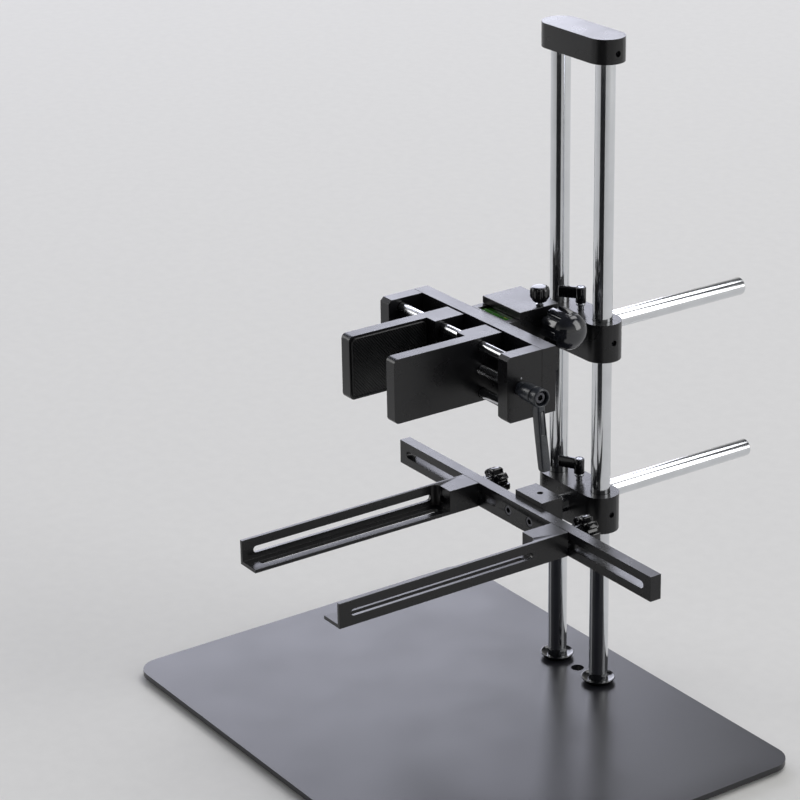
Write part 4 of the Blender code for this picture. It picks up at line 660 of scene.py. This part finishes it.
def thumb_screws():
    """Each has a moulded hub with one wing, a steel insert in its top and a stud."""
    for level in ("upper", "lower"):
        node = level + "_thumb_handle"
        stud_node = level + "_thumb_stud"
        low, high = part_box(node)
        axis = middle(stud_node) / MM
        base = (axis.x, axis.y, low.z / MM)
        wing_z = high.z / MM - THUMB_WING_DROP - THUMB_WING[2] / 2
        handle = turned(node + "_moulding", THUMB_HUB_PROFILE, base, "Z", SMALL_FACETS)
        wing = rounded_block(level + "_wing", THUMB_WING, (axis.x, axis.y, wing_z),
                             THUMB_WING_ROUNDING, radians(THUMB_TURN[level]))
        combine(handle, wing, "UNION")
        hole = turned(level + "_hole", THUMB_HOLE_PROFILE, base, "Z", SMALL_FACETS)
        combine(handle, hole, "DIFFERENCE")
        stand_for(handle, node)
        insert = turned(level + "_thumb_insert", THUMB_NUT_PROFILE, base, "Z", HEXAGON)
        finished(insert, BODY_OF[node], "chrome", BRIGHT_STEEL)
        stud = turned(stud_node + "_collar", THUMB_STUD_PROFILE,
                      (axis.x, axis.y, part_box(stud_node)[0].z / MM), "Z", SMALL_FACETS)
        stand_for(stud, stud_node)
        stud.data.materials[0] = BRIGHT_STEEL


def star_knobs():
    """The star knobs behind the crossbar, each on the stud that holds its arm."""
    for side in SIDES:
        node = "star_knob_" + side
        low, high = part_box(node)
        axis = middle(node) / MM
        base = high.y / MM - STAR_LENGTH
        star = gripped(node + "_moulding", STAR_PROFILE, STAR_LOBES, (axis.x, base, axis.z),
                       "Y", STAR_FLANKS, STAR_LOBE_FACETS)
        stand_for(star, node)
        stud = turned("support_stud_" + side, STAR_STUD_PROFILE,
                      (axis.x, low.y / MM, axis.z), "Y", STUD_FACETS)
        finished(stud, BODY_OF[node], "black_steel")


# Screw clamp

def thread(name, start, end, at_mm, hand):
    """A trapezoidal thread along X between flat ends; hand is -1 for left-handed."""
    pitch = THREAD_LEAD / THREAD_STARTS
    facets = THREAD_FACETS
    turns = int((end - start) / pitch) + 2 * THREAD_STARTS
    bm = bmesh.new()
    rows = []
    for turn in range(turns):
        for groove, part in THREAD_STEPS:
            row = []
            for i in range(facets):
                angle = tau * i / facets
                along = (start - THREAD_LEAD + (turn + part) * pitch
                         + THREAD_LEAD * i / facets)
                reach = THREAD_RADIUS - THREAD_DEPTH * groove
                row.append(bm.verts.new((reach * cos(angle), hand * reach * sin(angle),
                                         along)))
            rows.append(row)
    per_lead = len(THREAD_STEPS) * THREAD_STARTS
    for index in range(len(rows) - 1):
        for i in range(facets - 1):
            bm.faces.new((rows[index][i], rows[index][i + 1], rows[index + 1][i + 1],
                          rows[index + 1][i]))
        if index + per_lead + 1 < len(rows):
            bm.faces.new((rows[index][-1], rows[index + per_lead][0],
                          rows[index + per_lead + 1][0], rows[index + 1][-1]))
    for height, side in ((start, -1), (end, 1)):
        everything = bm.verts[:] + bm.edges[:] + bm.faces[:]
        bmesh.ops.bisect_plane(bm, geom=everything, dist=0.0001, plane_co=(0, 0, height),
                               plane_no=(0, 0, side), clear_outer=True)
        rim = [edge for edge in bm.edges if edge.is_boundary
               and all(abs(vert.co.z - height) < 0.001 for vert in edge.verts)]
        bmesh.ops.contextual_create(bm, geom=rim)
    bm.transform(placed(at_mm, "X"))
    return new_object(name, smooth_mesh(bm, name, THREAD_SMOOTH_ANGLE))


def lead_screw():
    """One screw with a left-handed half and a right-handed half, and plain bar between
    them and at both ends."""
    axis = middle("lead_screw") / MM
    low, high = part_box("lead_screw")
    for side, sign in SIDES.items():
        start, end = sorted((sign * THREAD_INNER_END, sign * THREAD_OUTER_END))
        piece = thread("lead_screw_thread_" + side, start, end, (0, axis.y, axis.z), sign)
        if sign < 0:
            stand_for(piece, "lead_screw")
        finished(piece, "clamp_drive", "chrome", GROUND_STEEL)
    inner = THREAD_INNER_END + SCREW_PLAIN_OVERLAP
    outer = THREAD_OUTER_END - SCREW_PLAIN_OVERLAP
    for name, start, end in (("middle", -inner, inner),
                             ("journal_left", low.x / MM, -outer),
                             ("journal_right", outer, high.x / MM)):
        profile = bar_profile(SCREW_PLAIN_RADIUS, end - start, SCREW_PLAIN_EDGE)
        piece = turned("lead_screw_" + name, profile, (start, axis.y, axis.z), "X",
                       SMALL_FACETS)
        finished(piece, "clamp_drive", "chrome", GROUND_STEEL)


def lever_arm_rings(base, axis):
    """Rounded-rectangle sections of the arm, from inside the hub to its tip."""
    rings = []
    for height, inner, outer, width in LEVER_SECTIONS:
        rounding = min(LEVER_ARM_ROUNDING, (outer - inner) / 3, width / 3)
        outline = rounded_outline((inner, -width / 2), (outer, width / 2), rounding, 4)
        rings.append([Vector((base + x, axis.y + y, axis.z + height)) * MM
                      for x, y in outline])
    return rings


def lever_strip(name, strip, base, axis):
    """A long block laid along the arm's leaning face, half of it below the face."""
    (top, top_x), (bottom, bottom_x), width, depth = strip
    bm = bmesh.new()
    bmesh.ops.create_cube(bm, size=1)
    bm.transform(Matrix.Diagonal((2 * depth * MM, width * MM,
                                  hypot(top - bottom, bottom_x - top_x) * MM, 1)))
    bmesh.ops.bevel(bm, geom=bm.edges[:], offset=LEVER_STRIP_EDGE * MM, segments=2,
                    affect="EDGES", profile=0.5)
    centre = Vector((base + (top_x + bottom_x) / 2, axis.y, axis.z + (top + bottom) / 2))
    lean = Matrix.Rotation((top_x - bottom_x) / (top - bottom), 4, "Y")
    bm.transform(Matrix.Translation(centre * MM) @ lean)
    return new_object(name, smooth_mesh(bm, name))


def lever():
    """A cast hub and arm in one, with a recess for its screw and a sunk panel."""
    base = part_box("clamp_lever")[0].x / MM
    axis = middle("lead_screw") / MM
    hub = turned("clamp_lever_casting", LEVER_HUB_PROFILE, (base, axis.y, axis.z), "X")
    combine(hub, skin(lever_arm_rings(base, axis), "lever_arm"), "UNION")
    radius, floor = LEVER_RECESS
    recess = turned("lever_recess", [(radius, floor), (radius, 2 * floor)],
                    (base, axis.y, axis.z), "X")
    combine(hub, recess, "DIFFERENCE")
    combine(hub, lever_strip("lever_panel", LEVER_PANEL, base, axis), "DIFFERENCE")
    combine(hub, lever_strip("lever_plaque", LEVER_PLAQUE, base, axis), "UNION")
    stand_for(hub, "clamp_lever")


def raise_ribs(bm, floor, centre, inward):
    """Cuts a pad's floor into diagonal strips, and raises every other one as a rib."""
    slope = radians(PAD_RIB_SLOPE)
    across = Vector((0, sin(slope), cos(slope)))
    reach = int(PAD_RIB_REACH / PAD_RIB_PITCH)
    strips = [floor]
    for index in range(-reach, reach + 1):
        for edge_side in (-1, 1):
            offset = (index * PAD_RIB_PITCH + edge_side * PAD_RIB_WIDTH / 2) * MM
            edges = dict.fromkeys(edge for strip in strips for edge in strip.edges)
            verts = dict.fromkeys(vert for strip in strips for vert in strip.verts)
            cut = bmesh.ops.bisect_plane(bm, geom=[*strips, *edges, *verts],
                                         dist=0.000001, plane_no=across,
                                         plane_co=centre + across * offset)
            strips += [item for item in cut["geom"] if isinstance(item, bmesh.types.BMFace)]
            strips = list(dict.fromkeys(strip for strip in strips if strip.is_valid))
    ribs = []
    for strip in strips:
        offset = (strip.calc_center_median() - centre).dot(across) / MM
        nearest = round(offset / PAD_RIB_PITCH) * PAD_RIB_PITCH
        if abs(offset - nearest) < PAD_RIB_WIDTH / 2 - PAD_RIB_TOLERANCE:
            ribs.append((strip, nearest))
    for strip, nearest in ribs:
        raised = bmesh.ops.extrude_discrete_faces(bm, faces=[strip])["faces"][0]
        for vert in raised.verts:
            off_middle = (vert.co - centre).dot(across) - nearest * MM
            vert.co -= across * off_middle * PAD_RIB_TAPER
            vert.co.x += inward * PAD_RIB_HEIGHT * MM


def jaw_pad(side, sign):
    """Rubber facing: a smooth round rim around diagonal ribs, one closed mesh."""
    node = "jaw_pad_" + side
    low, high = (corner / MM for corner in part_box(node))
    back, face = (high.x, low.x) if sign > 0 else (low.x, high.x)
    inward = -sign

    def ring(inset, x):
        outline = rounded_outline((low.y + inset, low.z + inset),
                                  (high.y - inset, high.z - inset), PAD_CORNER - inset)
        return [Vector((x, y, z)) for y, z in outline]

    rings = [ring(0, back)]
    rings += [ring(inset, face - inward * drop) for inset, drop in PAD_RIM_STEPS]
    bm = bmesh.new()
    rows = [[bm.verts.new(point * MM) for point in points] for points in rings]
    count = len(rows[0])
    for outer, inner in zip(rows, rows[1:]):
        for i in range(count):
            j = (i + 1) % count
            bm.faces.new((outer[i], outer[j], inner[j], inner[i]))
    bm.faces.new(rows[0])
    floor = bm.faces.new(rows[-1])
    bm.normal_update()
    centre = Vector((face - inward * PAD_RECESS, (low.y + high.y) / 2,
                     (low.z + high.z) / 2)) * MM
    raise_ribs(bm, floor, centre, inward)
    mesh = smooth_mesh(bm, node + "_ribbed", PAD_SMOOTH_ANGLE)
    piece = new_object(node + "_ribbed", mesh)
    stand_for(piece, node)


def vial():
    """An acrylic block with a round crown over its barrel, two rings and the bubble."""
    node = "head_level_vial"
    low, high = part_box(node)
    centre = middle(node) / MM
    size = (high - low) / MM
    height = size.z - VIAL_CROWN_RISE
    block = rounded_block(node + "_block", (size.x, size.y, height),
                          (low.x / MM, centre.y, low.z / MM + height / 2),
                          VIAL_BLOCK_ROUNDING)
    crown_z = high.z / MM - VIAL_CROWN_PROFILE[3][0]
    crown_x = centre.x - VIAL_CROWN_PROFILE[-1][1] / 2
    crown = turned("vial_crown", VIAL_CROWN_PROFILE, (crown_x, centre.y, crown_z), "X")
    combine(block, crown, "UNION")
    stand_for(block, node)
    body = BODY_OF[node]
    for index, place in enumerate(VIAL_RING_PLACES):
        ring = turned("vial_mark_%d" % (index + 1), VIAL_RING_PROFILE,
                      (place, centre.y, crown_z), "X", hollow=True)
        finished(ring, body, "black_rubber")
    bubble = turned("vial_bubble", VIAL_BUBBLE_PROFILE,
                    (VIAL_BUBBLE_START, centre.y, crown_z + VIAL_BUBBLE_RISE), "X",
                    SMALL_FACETS)
    finished(bubble, body, "green_vial", BUBBLE)


def dowel():
    """The end of the pin that fixes the lead screw's bearing in the end plate."""
    piece = turned("end_plate_dowel", DOWEL_PROFILE, DOWEL_PLACE, "X", DOWEL_FACETS)
    finished(piece, "clamp_head", "chrome", BRIGHT_STEEL)


columns_and_rods()
feet()
machined_pieces()
screws()
head_knobs()
thumb_screws()
star_knobs()
lead_screw()
lever()
for side, sign in SIDES.items():
    jaw_pad(side, sign)
vial()
dowel()


# Studio, in metres and degrees. Azimuth 0 is in front of the stand.

AIM = Vector((0, 0, 0.22))
FLOOR_RADIUS = 7
FLOOR_FACETS = 96
LAMP_DISTANCE = 12              # past the edge of the floor, so no lamp stands on it
# Azimuth, elevation, width and height, how bright the face is where 1 is a white
# sheet's level, and colour
LAMPS = {
    "back_softbox": (254, 18, (10.2, 6.0), 4.3, "#ECEEFF"),
    "overhead_softbox": (195, 60, (9.2, 7.4), 3.0, "#FFFFFF"),
    "left_softbox": (308, 20, (3.6, 7.7), 3.4, "#FFFFFF"),
    "right_softbox": (128, 25, (6.2, 9.9), 3.2, "#FFFFFF"),
}
CARD_PLACE = (33, 0.5)          # azimuth and distance from the stand
CARD_SIZE = (0.56, 0.52)
ROOM_COLOUR = "#C9CBD0"
ROOM_STRENGTH = 0.30
# The paper sweeps up behind the stand, and the room above it is dark. Each tone is
# at the sine of an angle above the horizon.
WALL_TONES = ((0.12, "#D2D1CE"), (0.6, "#4A4B4E"))

# Where the photograph was taken from, solved from the columns and the plate's edges
CAMERA_AZIMUTH = 55.81
CAMERA_ELEVATION = 22.03
CAMERA_ROLL = -0.96
CAMERA_PLACE = (1.6718, -1.2532, 1.1151)
CAMERA_LENS = 125.7             # millimetres
CAMERA_SENSOR = 36              # millimetres


def towards(azimuth, elevation=0):
    """The direction from the stand to something at this azimuth and elevation."""
    a, e = radians(azimuth), radians(elevation)
    return Vector((sin(a) * cos(e), -cos(a) * cos(e), sin(e)))


def pale_floor():
    """Seamless matt paper under the stand."""
    bm = bmesh.new()
    bmesh.ops.create_circle(bm, cap_ends=True, segments=FLOOR_FACETS, radius=FLOOR_RADIUS)
    floor = new_object("floor", smooth_mesh(bm, "floor"))
    floor.data.materials.append(seamless_paper())


def black_card():
    """A photographer's black card, which stands in front and shows only in reflections:
    it draws the dark line down each polished column."""
    (azimuth, distance), (width, height) = CARD_PLACE, CARD_SIZE
    bm = bmesh.new()
    bmesh.ops.create_grid(bm, x_segments=1, y_segments=1, size=0.5)
    bm.transform(Matrix.Diagonal((width, height, 1, 1)))
    card = new_object("black_card", smooth_mesh(bm, "black_card"))
    card.data.materials.append(black_paper())
    card.location = towards(azimuth) * distance + Vector((0, 0, height / 2))
    card.rotation_euler = (pi / 2, 0, radians(azimuth))
    card.visible_camera = False
    card.visible_diffuse = False
    card.visible_shadow = False


def softbox(name, azimuth, elevation, size, radiance, colour):
    """A rectangular lamp that faces the stand and is hidden from the camera."""
    away = towards(azimuth, elevation)
    lamp = bpy.data.lights.new(name, "AREA")
    lamp.shape = "RECTANGLE"
    lamp.size, lamp.size_y = size
    lamp.energy = radiance * pi * size[0] * size[1]     # what a face this bright sends out
    lamp.color = srgb(colour)[:3]
    holder = bpy.data.objects.new(name, lamp)
    bpy.context.scene.collection.objects.link(holder)
    holder.location = AIM + away * LAMP_DISTANCE
    holder.rotation_euler = away.to_track_quat("Z", "Y").to_euler()
    holder.visible_camera = False


def room():
    """A plain grey room lights the stand. The camera and polished metal see the pale
    sweep of the paper, and the darkness over it, instead."""
    world = bpy.data.worlds.new("studio")
    bpy.context.scene.world = world
    world.use_nodes = True
    tree = world.node_tree
    tree.nodes.clear()
    path = add(tree, "ShaderNodeLightPath")
    seen = add(tree, "ShaderNodeMath",
               {0: path.outputs["Is Camera Ray"], 1: path.outputs["Is Glossy Ray"]},
               operation="MAXIMUM")
    seen = add(tree, "ShaderNodeMath",
               {0: seen.outputs[0], 1: path.outputs["Is Transmission Ray"]},
               operation="MAXIMUM")
    plain = add(tree, "ShaderNodeBackground",
                {"Color": srgb(ROOM_COLOUR), "Strength": ROOM_STRENGTH})
    direction = add(tree, "ShaderNodeTexCoord").outputs["Generated"]
    height = add(tree, "ShaderNodeSeparateXYZ", {"Vector": direction}).outputs["Z"]
    sweep = add(tree, "ShaderNodeValToRGB", {"Fac": height})
    for element, (position, colour) in zip(sweep.color_ramp.elements, WALL_TONES):
        element.position = position
        element.color = srgb(colour)
    walls = add(tree, "ShaderNodeBackground",
                {"Color": sweep.outputs["Color"], "Strength": 1})
    mix = add(tree, "ShaderNodeMixShader", {0: seen.outputs[0],
                                            1: plain.outputs["Background"],
                                            2: walls.outputs["Background"]})
    add(tree, "ShaderNodeOutputWorld", {"Surface": mix.outputs["Shader"]})


def camera():
    """Looks from where the photograph was taken."""
    azimuth, roll = radians(CAMERA_AZIMUTH), radians(CAMERA_ROLL)
    right = Vector((cos(azimuth), sin(azimuth), 0))
    back = towards(CAMERA_AZIMUTH, CAMERA_ELEVATION)
    up = back.cross(right)
    side = right * cos(roll) + up * sin(roll)
    top = up * cos(roll) - right * sin(roll)
    lens = bpy.data.cameras.new("camera")
    lens.sensor_width = CAMERA_SENSOR
    lens.lens = CAMERA_LENS
    holder = bpy.data.objects.new("camera", lens)
    bpy.context.scene.collection.objects.link(holder)
    place = Matrix((side, top, back)).transposed().to_4x4()
    place.translation = CAMERA_PLACE
    holder.matrix_world = place
    bpy.context.scene.camera = holder


pale_floor()
black_card()
for name, lamp in LAMPS.items():
    softbox(name, *lamp)
room()
camera()
bpy.context.scene.view_settings.view_transform = "Standard"
